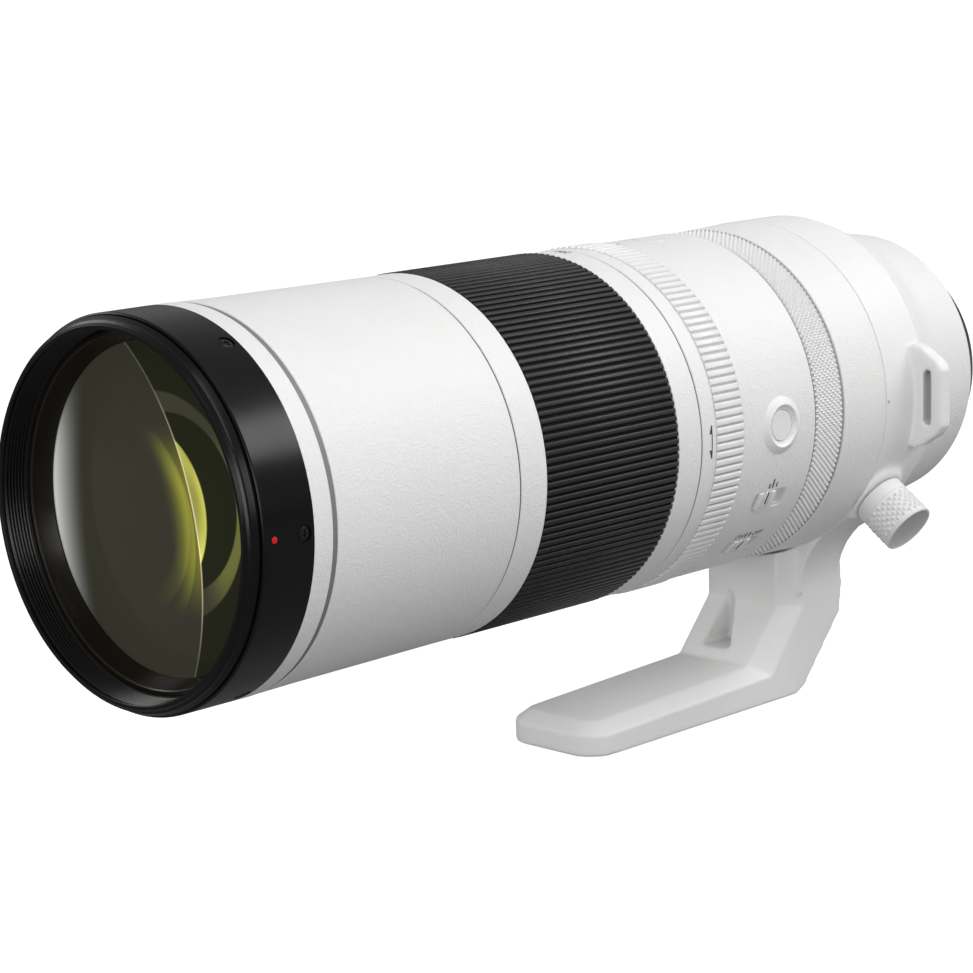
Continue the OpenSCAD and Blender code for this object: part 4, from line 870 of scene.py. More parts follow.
def prism(bm, outline, x0, x1):
    """Adds a prism along X with the outline given in (y, z)."""
    low = [bm.verts.new((x0, y, z)) for y, z in outline]
    high = [bm.verts.new((x1, y, z)) for y, z in outline]
    bm.faces.new(low)
    bm.faces.new(list(reversed(high)))
    for i in range(len(outline)):
        j = (i + 1) % len(outline)
        bm.faces.new((low[j], low[i], high[i], high[j]))


def rounded_window(half_len, half_h, corner, steps=6):
    """The outline of a window with round corners, in (y, z)."""
    points = []
    for cy, cz, first in ((1, 1, 0), (-1, 1, 90), (-1, -1, 180), (1, -1, 270)):
        for k in range(steps + 1):
            a = math.radians(first + 90 * k / steps)
            points.append((cy * (half_len - corner) + corner * math.cos(a),
                           cz * (half_h - corner) + corner * math.sin(a)))
    return points


def circle(radius, steps=48):
    return [(radius * math.cos(2 * math.pi * k / steps), radius * math.sin(2 * math.pi * k / steps))
            for k in range(steps)]


def cutter_of(holes):
    """One cutting object in metres; each hole is (outline, low x, high x, matrix)."""
    whole = bmesh.new()
    for outline, x0, x1, matrix in holes:
        part = bmesh.new()
        prism(part, outline, x0, x1)
        bmesh.ops.transform(part, matrix=matrix, verts=part.verts)
        scrap = bpy.data.meshes.new("scrap")
        part.to_mesh(scrap)
        part.free()
        whole.from_mesh(scrap)
        bpy.data.meshes.remove(scrap)
    return finish_mesh("cutter", whole, None)


def cut(piece, cutter):
    """Takes the cutter away from the piece, and keeps the barrel's own smooth shading."""
    modifier = piece.modifiers.new("cut", "BOOLEAN")
    modifier.operation, modifier.solver, modifier.object = "DIFFERENCE", "EXACT", cutter
    mesh = evaluated_mesh(piece)
    piece.modifiers.clear()
    piece.data = mesh
    bpy.data.objects.remove(cutter)
    mesh.set_sharp_from_angle(angle=math.radians(40))
    normals = [Vector(n.vector) for n in mesh.corner_normals]
    for face in mesh.polygons:
        out = Vector((face.center.x, 0, face.center.z)).normalized()
        if face.normal.dot(out) > FACES_OUT:
            for corner in face.loop_indices:
                v = mesh.vertices[mesh.loops[corner].vertex_index].co
                normals[corner] = Vector((v.x, 0, v.z)).normalized()
    mesh.normals_split_custom_set([tuple(n) for n in normals])
    print(piece.name, "has", len(mesh.polygons), "faces after the cut")


# %% [markdown]
# ## Switch barrel
# This stretch of the fixed barrel has two windows for the sliders and two round holes for the
# buttons. It is turned first and cut after, in a workshop's order. One cutter takes all four
# openings at once, because each Boolean costs time and leaves its own normals to mend.

# %% Switch barrel
FOCUS_ANGLE, STABILISER_ANGLE, SIDE_ANGLE, TOP_ANGLE = -25.9, -47.1, 0.0, 88.0
WINDOW_HALF_LEN, WINDOW_HALF_H, WINDOW_CORNER, WINDOW_DEPTH = 7.0, 3.15, 1.3, 1.74
SIDE_HOLE_R, TOP_HOLE_R, HOLE_DEPTH, PAST_SURFACE = 5.4, 4.62, 5, 3
switch_shell = turned("switch_shell", tube(Y_TENSION + GAP / 2, Y_SWITCH - GAP / 2,
                                           BODY_R - BARREL_WALL, BODY_R, 0.4, 0.3),
                      white_paint, "barrel", "switch_barrel")
window = rounded_window(WINDOW_HALF_LEN, WINDOW_HALF_H, WINDOW_CORNER)
cut(switch_shell, cutter_of([
    (outline, BODY_R - depth, BODY_R + PAST_SURFACE, at_angle(angle, Y_BUTTON))
    for outline, depth, angle in ((window, WINDOW_DEPTH, FOCUS_ANGLE),
                                  (window, WINDOW_DEPTH, STABILISER_ANGLE),
                                  (circle(SIDE_HOLE_R), HOLE_DEPTH, SIDE_ANGLE),
                                  (circle(TOP_HOLE_R), HOLE_DEPTH, TOP_ANGLE))]))

# %% [markdown]
# ## Buttons
# A low rim with a sloping wall guards the side button, and each cap fills its hole. The rim grows
# out of a round barrel but ends in a flat circle. Sculpting such a blend is slow, so each point
# of the outline says how much it hugs the barrel: fully at the foot, not at all at the top.

# %% Button rim and caps
RIM = [(9.0, -0.5, 1), (8.6, -0.03, 1), (8.35, 0.0, 1), (8.28, 0.03, 0.99), (8.1, 0.12, 0.94),
       (6.4, 0.86, 0.12), (6.25, 0.91, 0.03), (6.12, 0.92, 0), (6.0, 0.89, 0), (5.9, 0.80, 0),
       (5.55, 0.35, 0), (5.3, 0.14, 0), (5.0, 0.05, 0), (4.68, 0.02, 0), (4.62, -0.06, 0),
       (4.62, -1.8, 0), (5.9, -1.9, 0)]
CAP = [(0, -1.7, 0), (0, 0.12, 0), (2.2, 0.12, 0), (4.0, 0.13, 0), (4.22, 0.12, 0),
       (4.36, 0.05, 0), (4.42, -0.08, 0), (4.42, -1.7, 0)]


def mound(name, outline, base_r, angle, y, material, segments=96):
    """A form turned round an axis that points out of the barrel. Each point is (radius, height,
    hug): with hug 1 the height is over the round barrel, with hug 0 over the flat plane there."""
    bm = bmesh.new()
    rings = []
    for k in range(segments):
        a = 2 * math.pi * k / segments
        ring = []
        for radius, height, hug in outline:
            along, across = radius * math.sin(a), radius * math.cos(a)
            drop = base_r - math.sqrt(base_r ** 2 - across ** 2)
            ring.append(bm.verts.new((base_r + height - hug * drop, along, across)))
        rings.append(ring)
    join_rings(bm, rings)
    bmesh.ops.transform(bm, matrix=at_angle(angle, y), verts=bm.verts)
    return finish_mesh(name, bm, material)


place(mound("side_button_rim", RIM, BODY_R, SIDE_ANGLE, Y_BUTTON, white_paint), "barrel")
for name, node, body, angle in (("side_cap", "side_button", "side_key", SIDE_ANGLE),
                                ("top_cap", "top_button", "top_key", TOP_ANGLE)):
    place(mound(name, CAP, BODY_R, angle, Y_BUTTON, fine_paint), body, node)

# %% [markdown]
# ## Sliders
# Each switch is a moulded plate with three ridges that a finger pushes, and a black line on the
# middle one that points at the marks. Bevelled boxes are enough at this size. The line is a
# piece of its own, since it has another colour.

# %% Sliders with their index lines
PLATE_OUT, PLATE_HALF_LEN, PLATE_HALF_H = (BODY_R - 1.0, BODY_R - 0.28), 3.6, 2.85
RIDGE_OUT, RIDGE_HALF_LEN, RIDGE_HALF_H = (BODY_R - 0.5, BODY_R + 0.40), 0.9, 2.8
LINE_OUT, LINE_HALF_W, LINE_ACROSS = (BODY_R + 0.3, BODY_R + 0.45), 0.3, (-1.2, 2.95)
RIDGES = (-2.6, 0.0, 2.6)


def soft_box(bm, x, y, z, bevel=0.15):
    """Adds a box with rounded edges, given by its lowest and highest x, y and z."""
    made = bmesh.ops.create_cube(bm, size=1.0)
    for v in made["verts"]:
        v.co = Vector((x[0] if v.co.x < 0 else x[1], y[0] if v.co.y < 0 else y[1],
                       z[0] if v.co.z < 0 else z[1]))
    edges = {e for v in made["verts"] for e in v.link_edges}
    bmesh.ops.bevel(bm, geom=list(edges), offset=bevel, segments=2, affect="EDGES", profile=0.6)


def slider(name, node, body, angle):
    """The plate with its ridges, and the line that rides on it as a second piece."""
    to_place = at_angle(angle, middle_y(node))
    bm = bmesh.new()
    soft_box(bm, PLATE_OUT, (-PLATE_HALF_LEN, PLATE_HALF_LEN), (-PLATE_HALF_H, PLATE_HALF_H), 0.06)
    for y_ridge in RIDGES:
        soft_box(bm, RIDGE_OUT, (y_ridge - RIDGE_HALF_LEN, y_ridge + RIDGE_HALF_LEN),
                 (-RIDGE_HALF_H, RIDGE_HALF_H), 0.09)
    bmesh.ops.transform(bm, matrix=to_place, verts=bm.verts)
    place(finish_mesh(name, bm, fine_paint, 30), body, node)
    line = bmesh.new()
    soft_box(line, LINE_OUT, (-LINE_HALF_W, LINE_HALF_W), LINE_ACROSS, 0.02)
    bmesh.ops.transform(line, matrix=to_place, verts=line.verts)
    place(finish_mesh(name + "_line", line, black_ink), body)


slider("focus_slide", "focus_switch", "focus_slider", FOCUS_ANGLE)
slider("stabiliser_slide", "stabiliser_switch", "stabiliser_slider", STABILISER_ANGLE)

# %% [markdown]
# ## Prints on the barrel
# The marks are printed in thin ink. An image texture could carry them, but its pixels show when
# the camera comes close. So they are drawn as flat shapes and laid on the barrel's round, a few
# hundredths of a millimetre above the paint. These helpers draw a stroke or a word and wrap it.

# %% Drawing and wrapping marks
MARK_R = BODY_R + 0.03
CAPITAL_SHARE = 0.72


def printed(name, bm, y, angle, material, body, round_way=False):
    """Lays flat marks, drawn in X and Y, on the barrel; round_way turns their up to the front."""
    for v in bm.verts:
        u, w, lift = v.co
        along, about = (-w, u) if round_way else (u, w)
        a = math.radians(angle) + about / MARK_R
        v.co = Vector(((MARK_R + lift) * math.cos(a), y + along, (MARK_R + lift) * math.sin(a)))
    return place(finish_mesh(name, bm, material, recalc=False), body)


def stroke(bm, points, steps=10):
    """Adds a flat four-sided mark between two pairs of corners, with cuts along its length."""
    a, b, c, d = (Vector(p) for p in points)
    rows = [(bm.verts.new((*a.lerp(b, k / steps), 0)), bm.verts.new((*d.lerp(c, k / steps), 0)))
            for k in range(steps + 1)]
    for one, two in zip(rows, rows[1:]):
        bm.faces.new((one[0], two[0], two[1], one[1]))


def text_bmesh(text, height):
    """Plain lettering as a flat mesh, centred, with capitals of the given height."""
    curve = bpy.data.curves.new("text", "FONT")
    curve.body = text
    curve.size = height / CAPITAL_SHARE
    curve.align_x = "CENTER"
    curve.align_y = "CENTER"
    curve.resolution_u = 3
    holder = bpy.data.objects.new("text", curve)
    scene.collection.objects.link(holder)
    mesh = evaluated_mesh(holder)
    bm = bmesh.new()
    bm.from_mesh(mesh)
    bpy.data.objects.remove(holder)
    bpy.data.meshes.remove(mesh)
    bmesh.ops.triangulate(bm, faces=bm.faces)
    return bm


print("marks lie at radius", round(MARK_R, 2))

# %% [markdown]
# ## Marks on the switch barrel
# Short ticks show the places of the two sliders, and the lower one has the words for on and off.
# Each tick has its own length and width, as in the photograph.

# %% Marks on the switch barrel
TICKS = ((-118.75, -21.5, -19.8, 0.34), (-117.25, -21.6, -18.3, 0.32),
         (-115.55, -21.5, -19.7, 0.28), (-118.3, -42.4, -40.4, 0.34),
         (-116.5, -42.4, -40.4, 0.34))
WORD_HEIGHT, WORD_ANGLE = 1.9, -41.6
for number, (y, low, high, half_w) in enumerate(TICKS):
    tick = bmesh.new()
    half = 0.5 * math.radians(high - low) * BODY_R
    stroke(tick, ((-half_w, -half), (-half_w, half), (half_w, half), (half_w, -half)))
    bmesh.ops.reverse_faces(tick, faces=tick.faces)
    printed(f"tick_{number + 1}", tick, y, 0.5 * (low + high), black_ink, "barrel")
for word, y in (("ON", -121.2), ("OFF", -113.0)):
    printed("word_" + word.lower(), text_bmesh(word, WORD_HEIGHT), y, WORD_ANGLE, black_ink,
            "barrel")

# %% [markdown]
# ## Marks on the turning rings
# A double arrow on the tension ring shows its two ways, and the zoom ring carries its focal
# lengths, which come under a fixed line as the ring turns. A zoom's scale is close to
# logarithmic, so the angle of each number follows the logarithm of its focal length.

# %% Arrow, numbers and index line
SHAFT, HEAD_LEN, HEAD_OUT = 4.7, 2.4, 1.1
SHAFT_LOW, SHAFT_HIGH, POINT_OUT = -0.2, 0.18, 0.22
Y_ARROW, ARROW_ANGLE = -148.0, -0.35
arrow = bmesh.new()
stroke(arrow, ((-SHAFT, SHAFT_LOW), (SHAFT, SHAFT_LOW), (SHAFT, SHAFT_HIGH), (-SHAFT, SHAFT_HIGH)))
stroke(arrow, ((SHAFT - HEAD_LEN, SHAFT_HIGH), (SHAFT, SHAFT_HIGH), (SHAFT, POINT_OUT),
               (SHAFT - HEAD_LEN, HEAD_OUT)), 4)
stroke(arrow, ((-SHAFT, SHAFT_HIGH), (-SHAFT + HEAD_LEN, SHAFT_HIGH),
               (-SHAFT + HEAD_LEN, HEAD_OUT), (-SHAFT, POINT_OUT)), 4)
printed("double_arrow", arrow, Y_ARROW, ARROW_ANGLE, ink, "tension", round_way=True)
FOCAL_LENGTHS = (200, 300, 400, 500, 600, 800)
SCALE_START, SCALE_END, Y_SCALE, NUMBER_HEIGHT = 88.0, 218.0, -154.6, 2.6
for focal in FOCAL_LENGTHS:
    share = math.log(focal / FOCAL_LENGTHS[0]) / math.log(FOCAL_LENGTHS[-1] / FOCAL_LENGTHS[0])
    printed(f"scale_{focal}", text_bmesh(str(focal), NUMBER_HEIGHT), Y_SCALE,
            SCALE_START + share * (SCALE_END - SCALE_START), ink, "zoom", round_way=True)
Y_INDEX, INDEX_HALF_W, INDEX_HALF_LEN = -131.8, 0.2, 1.6
index_line = bmesh.new()
stroke(index_line, ((-INDEX_HALF_W, -INDEX_HALF_LEN), (-INDEX_HALF_W, INDEX_HALF_LEN),
                    (INDEX_HALF_W, INDEX_HALF_LEN), (INDEX_HALF_W, -INDEX_HALF_LEN)), 4)
bmesh.ops.reverse_faces(index_line, faces=index_line.faces)
printed("scale_index", index_line, Y_INDEX, SCALE_START, ink, "barrel", round_way=True)

# %% [markdown]
# ## Sleeve and band
# The long white sleeve is fixed, and the narrow band before it belongs to the front group, which
# slides out on zooming. Both swell a little towards the front ring. They are two shells, so the
# seam between them opens when the group moves.

# %% Sleeve and band
SLEEVE_WALL, BAND_BORE_R = 1.6, 46.0
Y_MOUTH = Y_SLEEVE_FRONT + 0.7
turned("sleeve_shell", [
    (Y_MOUTH, BODY_R - SLEEVE_WALL), (Y_MOUTH, HEAD_R - 0.1, 0.3),
    (Y_SLEEVE_FRONT + 14, BODY_R + 0.35), (Y_SLEEVE - GAP / 2, FLUSH_R, 0.45),
    (Y_SLEEVE - GAP / 2, BODY_R - BARREL_WALL), (Y_SLEEVE - 10, BODY_R - BARREL_WALL),
    (Y_SLEEVE - 10, BODY_R - SLEEVE_WALL)],
       white_paint, "barrel", "front_sleeve")
turned("band_shell", tube(Y_HEAD + 0.03, Y_BAND, BAND_BORE_R, HEAD_R, 0.05, 0.35),
       white_paint, "front", "front_band")

# %% [markdown]
# ## Seams
# Between two rings one looks into a narrow dark gap. Empty space would let light from the inside of
# the shells through, so a thin ring closes each seam a little below the surface. Its dark tone is
# painted shade of the gap, and its depth and tone set how dark the line looks.

# %% Rings inside the seams
SEAM_HALF_WIDTH, SEAM_FLOOR = 0.13, 2.2
# Each seam ring: its station, its depth below the surface and the material of its painted shade.
SEAMS = ((Y_SLEEVE, 0.25, black_matt), (Y_ZOOM, 0.25, black_matt), (Y_TENSION, 0.4, black_matt),
         (Y_SWITCH, 0.2, black_matt), (Y_CONTROL, 0.3, groove_shade_paint))
for number, (y, depth, material) in enumerate(SEAMS):
    turned(f"seam_{number + 1}", tube(y - SEAM_HALF_WIDTH, y + SEAM_HALF_WIDTH,
                                      BODY_R - SEAM_FLOOR, BODY_R - depth),
           material, "barrel", None, 0.02, 192)
# A dark grey ring behind the front band, painted shade of that seam.
turned("seam_band", tube(Y_BAND - 0.1, Y_SLEEVE_FRONT + 0.6, BAND_BORE_R + 0.1, HEAD_R - 0.35),
       seam_shade_paint, "front", None, 0.05, 192)

# %% [markdown]
# ## The black front ring
# The lip is a thin flat ring. Behind it a stepped bevel leads to the hood's groove, and inside
# lies the fine filter thread. A true thread climbs, but at a pitch of one millimetre nobody sees
# it from outside, so the thread is plain grooves in the outline.

# %% Front ring
THREAD_PITCH, THREAD_LINES, THREAD_R, THREAD_ROOT_R = 1.0, 7, 46.9, 47.5
RETAINER_LEN = 5.4
Y_RETAINER = front_y("front_retainer")
thread = []
for k in range(THREAD_LINES):
    y = Y_RETAINER - 0.4 - k * THREAD_PITCH
    thread += [(y, THREAD_R, 0.06), (y - THREAD_PITCH / 2, THREAD_ROOT_R, 0.02)]
lip = [(Y_FRONT + 0.25, 47.1, 0.05), (Y_FRONT, 47.35, 0.06), (Y_FRONT, 48.3, 0.1),
       (Y_FRONT + 0.8, 48.75, 0.08), (Y_FRONT + 1.3, 49.55, 0.1), (Y_FRONT + 1.7, 49.6, 0.1),
       (Y_FRONT + 2.6, 50.05, 0.1)]
hood_groove = [(Y_FRONT + 3.2, 50.4, 0.1), (Y_FRONT + 3.25, 49.9, 0.05),
               (Y_FRONT + 4.0, 49.9, 0.05), (Y_FRONT + 4.05, 50.7, 0.1),
               (Y_FRONT + 4.35, HEAD_R, 0.12), (Y_HEAD, HEAD_R, 0.05)]
bore = [(Y_HEAD, 46.2), (Y_HEAD - 1.6, 46.2), (Y_HEAD - 1.6, 44.7),
        (Y_RETAINER + RETAINER_LEN, 44.7), (Y_RETAINER + RETAINER_LEN, 46.55),
        (Y_RETAINER, 46.55)]
ring_shell = turned("front_ring_shell", lip + hood_groove + bore + thread, black_paint, "front",
                    "front_ring", 0.08)
turned("retainer_shell", [
    (Y_RETAINER + 0.35, 44.95, 0.05), (Y_RETAINER, 45.3, 0.05), (Y_RETAINER, 46.45, 0.1),
    (Y_RETAINER + RETAINER_LEN, 46.45), (Y_RETAINER + 5.7, 44.5), (Y_RETAINER + 5.65, 43.0, 0.05),
    (Y_RETAINER + 5.2, 43.0, 0.05), (Y_RETAINER + 1.5, 44.6, 0.1)],
       black_gloss, "front", "front_retainer", 0.08)

# %% [markdown]
# ## Ring screws
# Six small screws hold the front ring, each with its head in a round pocket. The head is turned
# as well, a cross is cut into it, and the pattern tree sets all six. An array modifier round an
# empty would do too, but the tree is already there.

# %% Ring screws in their pockets
SCREW_COUNT, SCREW_POCKET, POCKET_R = 6, 0.45, 2.15
Y_RING_SCREW = middle_y("ring_screws")
HEAD_OUTLINE = [(0.0, 0.0), (0.42, 0.0), (0.40, 0.9), (0.34, 1.4), (0.2, 1.7), (0.0, 1.75)]
CROSS = [(-0.95, -0.2), (-0.2, -0.2), (-0.2, -0.95), (0.2, -0.95), (0.2, -0.2), (0.95, -0.2),
         (0.95, 0.2), (0.2, 0.2), (0.2, 0.95), (-0.2, 0.95), (-0.2, 0.2), (-0.95, 0.2)]


def spin_x(points, segments=48):
    """A closed outline of (distance along X, radius) spun round X, in millimetres."""
    bm = turned_bmesh(points, segments)
    bmesh.ops.transform(bm, matrix=Matrix.Rotation(math.radians(-90), 4, "Z"), verts=bm.verts)
    return bm


cut(ring_shell, cutter_of([
    (circle(POCKET_R), HEAD_R - SCREW_POCKET, HEAD_R + 2,
     at_angle(360 * k / SCREW_COUNT, Y_RING_SCREW)) for k in range(SCREW_COUNT)]))
screw = finish_mesh("screw", spin_x(HEAD_OUTLINE, 32), black_gloss)
cut(screw, cutter_of([(CROSS, 0.18, 2.0, Matrix())]))
screws = round_pattern("ring_screw_heads", screw, black_gloss, Count=SCREW_COUNT,
                       Radius=HEAD_R - SCREW_POCKET - 0.05, First=Y_RING_SCREW)
place(screws, "front", "ring_screws")

# %% [markdown]
# ## Red index dot
# The hood is lined up with this dot. It is a drop of paint in a small dimple, so it stands up
# with a round edge. The mound helper that made the button rim makes it as well.

# %% Red index dot
DOT = [(0, -0.25, 1), (0, 0.08, 1), (0.5, 0.07, 1), (0.78, 0.04, 1), (0.88, -0.02, 1),
       (0.88, -0.25, 1)]
Y_DOT = -310.6
place(mound("red_index", DOT, HEAD_R, 0, Y_DOT, red_paint, 40), "front")

# %% [markdown]
# ## The front glass
# The large front element is a shallow dome, ground to a part of a sphere. A UV sphere could be
# cut down to it. An outline that follows the circle needs no cutting, and it runs on to a short
# edge and a flat back. It has to end on the axis, so its corners aren't rounded.

# %% Front glass
GLASS_CURVE, GLASS_EDGE_R, GLASS_STEPS, GLASS_EDGE = 210.0, 44.5, 24, 1.2
Y_APEX = front_y("front_element")
dome = [(Y_APEX + GLASS_CURVE - math.sqrt(GLASS_CURVE ** 2 - r * r), r)
        for r in (GLASS_EDGE_R * k / GLASS_STEPS for k in range(GLASS_STEPS + 1))]
y_back = dome[-1][0] + GLASS_EDGE
turned("front_glass", dome + [(y_back, GLASS_EDGE_R), (y_back, 0.0)],
       front_glass_material, "front", "front_element", 0.0, 128)

# %% [markdown]
# ## The tripod collar's casting
# The ring, its strap lugs, the leg and the foot are one casting, in which every edge is round
# and every corner filled. Bevels on such a crossing of forms often fail. So the CAD solid is
# copied, made again in small even cells and smoothed, which gives what a mould gives.

# %% Casting in even cells
CELL, SMOOTH_PASSES, WELD = 0.0006, 5, 0.00001
cast_mesh = frame["nodes"]["tripod_collar"].data.copy()
merge = bmesh.new()
merge.from_mesh(cast_mesh)
bmesh.ops.remove_doubles(merge, verts=merge.verts, dist=WELD)
merge.to_mesh(cast_mesh)
merge.free()


def baked(source):
    """The source's mesh with its modifiers in it; the source goes."""
    mesh = evaluated_mesh(source)
    bpy.data.objects.remove(source)
    return mesh


def smoothing(piece, passes, group=""):
    """Adds a Smooth modifier, for the whole piece or for one vertex group."""
    soften = piece.modifiers.new("soften", "SMOOTH")
    soften.factor, soften.iterations, soften.vertex_group = 0.5, passes, group


def collar_source(mesh):
    source = bpy.data.objects.new("collar_source", mesh)
    scene.collection.objects.link(source)
    return source


cast = collar_source(cast_mesh)
cells = cast.modifiers.new("cells", "REMESH")
cells.mode, cells.voxel_size, cells.use_smooth_shade = "VOXEL", CELL, True
smoothing(cast, SMOOTH_PASSES)
collar_mesh = baked(cast)
print("casting:", len(collar_mesh.polygons), "faces in cells of", CELL / MM, "mm")

# %% [markdown]
# ## The boss under the knob
# The lock knob stands on a boss that flows into the ring with a wide round. The whole casting
# can't be smoothed that much, so a vertex group takes in only the boss. Its weight fades out
# over the last millimetres, which keeps an edge of the smoothed area from showing.

# %% Softer boss
KNOB_ANGLE, Y_KNOB = -36.0, -61.0
BOSS_LOWEST, BOSS_R, BOSS_FADE, BOSS_PASSES = 45, 18, 4, 22
cast = collar_source(collar_mesh)
boss_area = cast.vertex_groups.new(name="boss")
boss_weight = {}
knob_out = Vector((math.cos(math.radians(KNOB_ANGLE)), 0, math.sin(math.radians(KNOB_ANGLE))))
for v in collar_mesh.vertices:
    offset = v.co / MM - Vector((0, Y_KNOB, 0))
    along = offset.dot(knob_out)
    aside = (offset - knob_out * along).length
    if along > BOSS_LOWEST and aside < BOSS_R:
        boss_weight[v.index] = min(1.0, (BOSS_R - aside) / BOSS_FADE)
        boss_area.add([v.index], boss_weight[v.index], "REPLACE")
smoothing(cast, BOSS_PASSES, "boss")
collar_mesh = baked(cast)
print("boss:", len(boss_weight), "vertices smoothed further")

# %% [markdown]
# ## Round ring and dark slots
# The cells leave the ring slightly wavy. A finer grid would cost a lot of faces, so vertices close
# to the ring's radius are pulled to just under it. Then the walls of the strap slots get the darker
# groove shade paint by their place and direction, as painted shade, since little light reaches
# them.

# %% Ring, slots and finished casting
COLLAR_R, SNAP_WITHIN, UNDER_SHELL = 51.15, 0.3, 0.01
LUG_FROM, SLOT_FROM, SLOT_TO, SLOT_HALF_H, SLOT_INSET, WALL_TURN = 8, 2.9, 6.0, 8.6, 0.4, 0.75
for v in collar_mesh.vertices:
    radius = math.hypot(v.co.x, v.co.z)
    if abs(radius / MM - COLLAR_R) < SNAP_WITHIN:
        share = 1.0 - boss_weight.get(v.index, 0.0)
        pull = 1.0 + share * ((COLLAR_R - UNDER_SHELL) * MM / radius - 1.0)
        v.co.x, v.co.z = v.co.x * pull, v.co.z * pull
collar_mesh.materials.clear()
collar_mesh.materials.append(casting_paint)
collar_mesh.materials.append(groove_shade_paint)
lug_y = [v.co.y / MM for v in collar_mesh.vertices if v.co.x / MM > COLLAR_R + LUG_FROM]
slot_low, slot_high = min(lug_y) + SLOT_INSET, max(lug_y) - SLOT_INSET
# The slot walls get the grey of painted shade.
for face in collar_mesh.polygons:
    x, y, z = (c / MM for c in face.center)
    in_slot = COLLAR_R + SLOT_FROM < abs(x) < COLLAR_R + SLOT_TO and abs(z) < SLOT_HALF_H
    face.material_index = int(in_slot and slot_low < y < slot_high
                              and abs(face.normal.y) < WALL_TURN)
collar_mesh.polygons.foreach_set("use_smooth", [True] * len(collar_mesh.polygons))
collar_cast = bpy.data.objects.new("collar_casting", collar_mesh)
scene.collection.objects.link(collar_cast)
place(collar_cast, "collar", "tripod_collar")

# %% [markdown]
# ## Shell over the ring
# Such a ring is machined after casting, so its edges are crisp. A turned shell laid over the
# cast one shows that. It is cut open round the boss, where the two surfaces would otherwise
# cross in a ragged line.

# %% Shell over the ring
BOSS_REACH, LIP, CUT_FROM, CUT_TO = 14.5, 2.3, 40, 60
collar_ring = turned("collar_ring", tube(Y_REAR + GAP / 2, Y_COLLAR - GAP / 2, BORE_R, COLLAR_R,
                                         0.3, 0.3),
                     casting_paint, "collar")
boss_round = [(min(max(Y_KNOB + y, Y_REAR + LIP), Y_COLLAR - LIP), z)
              for y, z in circle(BOSS_REACH)]
cut(collar_ring, cutter_of([(boss_round, CUT_FROM, CUT_TO, at_angle(KNOB_ANGLE))]))

# %% [markdown]
# ## Index dimple
# A small dimple sits on the collar's front edge. It probably shows when the camera is level. Here
# it is another low mound in the grey groove shade paint, which paints the dimple's shade.

# %% Index dimple on the collar's front edge
DIMPLE = [(0, -0.3, 1), (0, 0.02, 1), (0.4, 0.03, 1), (0.55, 0.02, 1), (0.6, -0.3, 1)]
# The grey is painted shade of the dimple.
place(mound("index_dimple", DIMPLE, COLLAR_R, 0, Y_REAR + 1.1, groove_shade_paint, 32), "collar")

# %% [markdown]
# ## Lock knob
# The knob clamps the collar. It is a moulded handle with a neck, a grip and a dished end, all of
# them round its own axis. So it is turned round X and set at its angle. The dish is a second
# piece, because it is greyer in the photograph.

# %% Lock knob
KNOB_START, KNOB_END = COLLAR_R + 1.65, COLLAR_R + 15.65
GRIP_START = KNOB_START + 3.9
STEM_R, FLANGE_R, GRIP_R = 2.5, 8.2, 7.9


def knob_place(bm):
    bmesh.ops.transform(bm, matrix=at_angle(KNOB_ANGLE, Y_KNOB), verts=bm.verts)
    return bm


knob_outline = rounded([(COLLAR_R + 0.1, 0.0, 0), (COLLAR_R + 0.1, STEM_R, 0.1),
                        (KNOB_START, STEM_R, 0.1), (KNOB_START, FLANGE_R, 0.35),
                        (GRIP_START, FLANGE_R, 0.3), (GRIP_START + 0.3, GRIP_R, 0.1),
                        (KNOB_END - 0.9, GRIP_R, 0.1), (KNOB_END - 0.7, 8.4, 0.15),
                        (KNOB_END, 8.1, 0.3), (KNOB_END, 7.45, 0.1),
                        (KNOB_END - 1.7, 7.3, 0.1), (KNOB_END - 1.7, 0.0, 0)], 0.2)
place(finish_mesh("knob_body", knob_place(spin_x(knob_outline, 96)), white_plastic), "knob",
      "lock_knob")
dish = [(KNOB_END - 1.9, 0.0), (KNOB_END - 1.5, 0.0), (KNOB_END - 1.42, 2.5),
        (KNOB_END - 1.15, 4.6), (KNOB_END - 0.65, 6.4), (KNOB_END - 0.15, 7.35),
        (KNOB_END - 1.9, 7.4)]
# The dish's grey is painted shade in its hollow.
place(finish_mesh("knob_dish", knob_place(spin_x(dish, 96)), dish_shade_plastic), "knob")

# %% [markdown]
# ## Knurl of the knob
# The grip has the same kind of pyramids as the control ring, only larger. The pattern tree
# works round Y, so the rows are made there and then turned to the knob's axis.

# %% Knurl of the knob
KNOB_ROWS, KNOB_COUNT, KNOB_MARGIN, KNOB_KNURL_R = 7, 22, 0.4, 7.72
knob_step = 2 * (KNOB_END - 1.0 - GRIP_START - KNOB_MARGIN) / (KNOB_ROWS + 1)
knob_knurl = round_pattern(
    "knob_knurl", pyramid_shape(knob_step, 2.28, 0.78, 0.06), white_plastic,
    Count=KNOB_COUNT, Rows=KNOB_ROWS, Radius=KNOB_KNURL_R,
    First=GRIP_START + KNOB_MARGIN + knob_step / 2, Step=knob_step / 2, Stagger=0.5)
knob_knurl.data.transform(Matrix.Scale(MM, 4) @ at_angle(KNOB_ANGLE, Y_KNOB)
                          @ Matrix.Rotation(math.radians(-90), 4, "Z") @ Matrix.Scale(1 / MM, 4))
place(knob_knurl, "knob")

# %% [markdown]
# ## Materials for the CAD nodes that stay
# The inner parts, the mount, the screws and the foot's fittings keep their CAD meshes. Each could
# be given a finish by hand, but the record already names a slot for every node. So a table from
# slot to finish paints them all. Only two nodes differ from their slot.

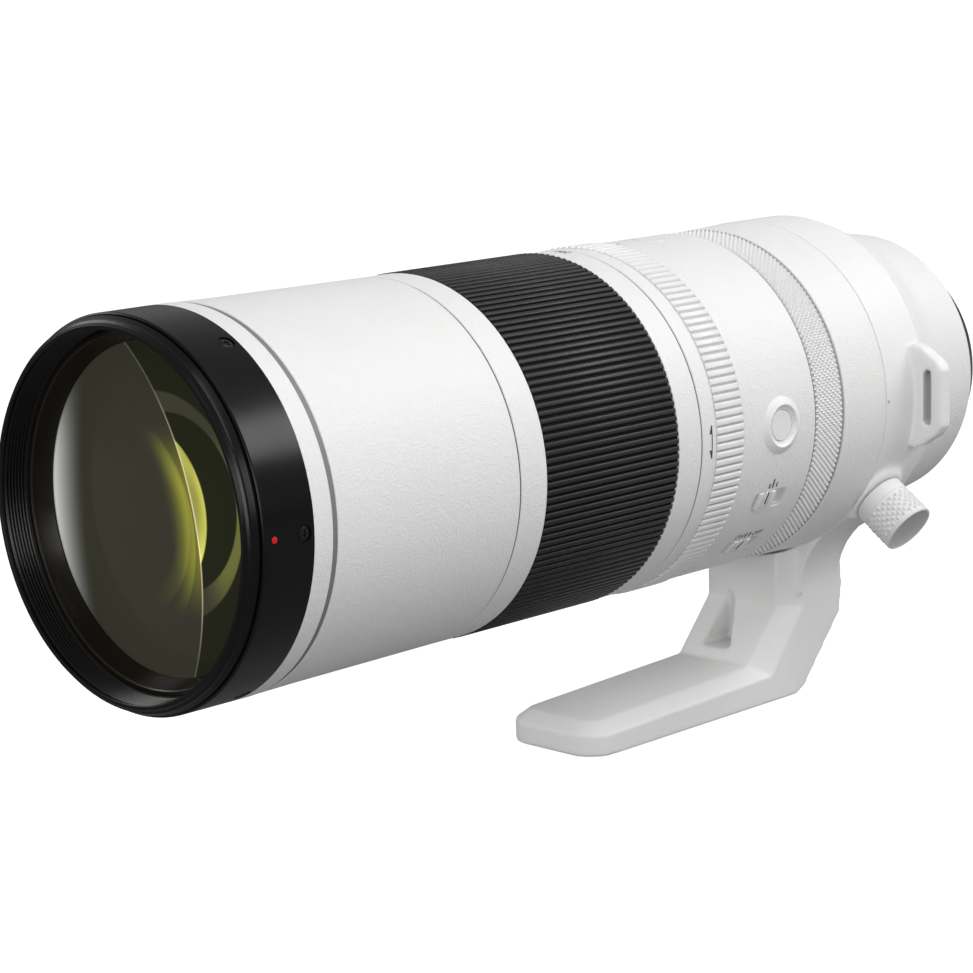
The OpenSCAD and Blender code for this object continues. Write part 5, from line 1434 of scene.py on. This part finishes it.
# %% Paint the CAD nodes
SLOT_MATERIAL = {
    "white_paint": white_paint, "black_paint": black_paint, "black_plastic": black_matt,
    "grey_plastic": white_plastic, "grip_rubber": rubber, "steel": steel, "alloy": alloy,
    "brass": brass, "board": board, "glass": inner_glass}
NODE_MATERIAL = {"extension_tube": tube_paint, "bearing_sleeve": steel}
node_slot = {part["node"]: part["material_slot"] for part in frame["record"]["subparts"]}
for node_name, node in frame["nodes"].items():
    node.data.materials.clear()
    node.data.materials.append(NODE_MATERIAL.get(node_name, SLOT_MATERIAL[node_slot[node_name]]))
print("painted:", len(frame["nodes"]), "CAD nodes")

# %% [markdown]
# ## Floor
# A plain pale floor lies under the foot and takes the lens's shadow. A pure white one would
# throw too much light up at the lens. So it is grey for the light, and for the camera alone a
# glow lifts it almost to white, as the photograph's ground is.

# %% Floor
FLOOR_GAP, FLOOR_REACH = 0.0002, 14.0
FLOOR_GREY, FLOOR_GLOW = 0.28, 0.95
floor_z = -FOOT_Z * MM - FLOOR_GAP
floor_mesh = bpy.data.meshes.new("floor")
corners = [(x * FLOOR_REACH, y * FLOOR_REACH, floor_z)
           for x, y in ((-1, -1), (1, -1), (1, 1), (-1, 1))]
floor_mesh.from_pydata(corners, [], [(0, 1, 2, 3)])
floor = bpy.data.objects.new("floor", floor_mesh)
scene.collection.objects.link(floor)
floor_material = bpy.data.materials.new("floor")
floor_material.use_nodes = True
ft = floor_material.node_tree
ft.nodes.clear()
f_out = ft.nodes.new("ShaderNodeOutputMaterial")
f_diffuse = ft.nodes.new("ShaderNodeBsdfDiffuse")
f_diffuse.inputs[0].default_value = (FLOOR_GREY, FLOOR_GREY, FLOOR_GREY, 1)
f_glow = ft.nodes.new("ShaderNodeEmission")
f_path = ft.nodes.new("ShaderNodeLightPath")
f_add = ft.nodes.new("ShaderNodeAddShader")
f_strength = ft.nodes.new("ShaderNodeMath")
f_strength.operation = "MULTIPLY"
f_strength.inputs[1].default_value = FLOOR_GLOW
ft.links.new(f_path.outputs["Is Camera Ray"], f_strength.inputs[0])
ft.links.new(f_strength.outputs[0], f_glow.inputs["Strength"])
ft.links.new(f_diffuse.outputs[0], f_add.inputs[0])
ft.links.new(f_glow.outputs[0], f_add.inputs[1])
ft.links.new(f_add.outputs[0], f_out.inputs[0])
floor_mesh.materials.append(floor_material)
print("floor at", round(floor_z / MM, 2), "mm")
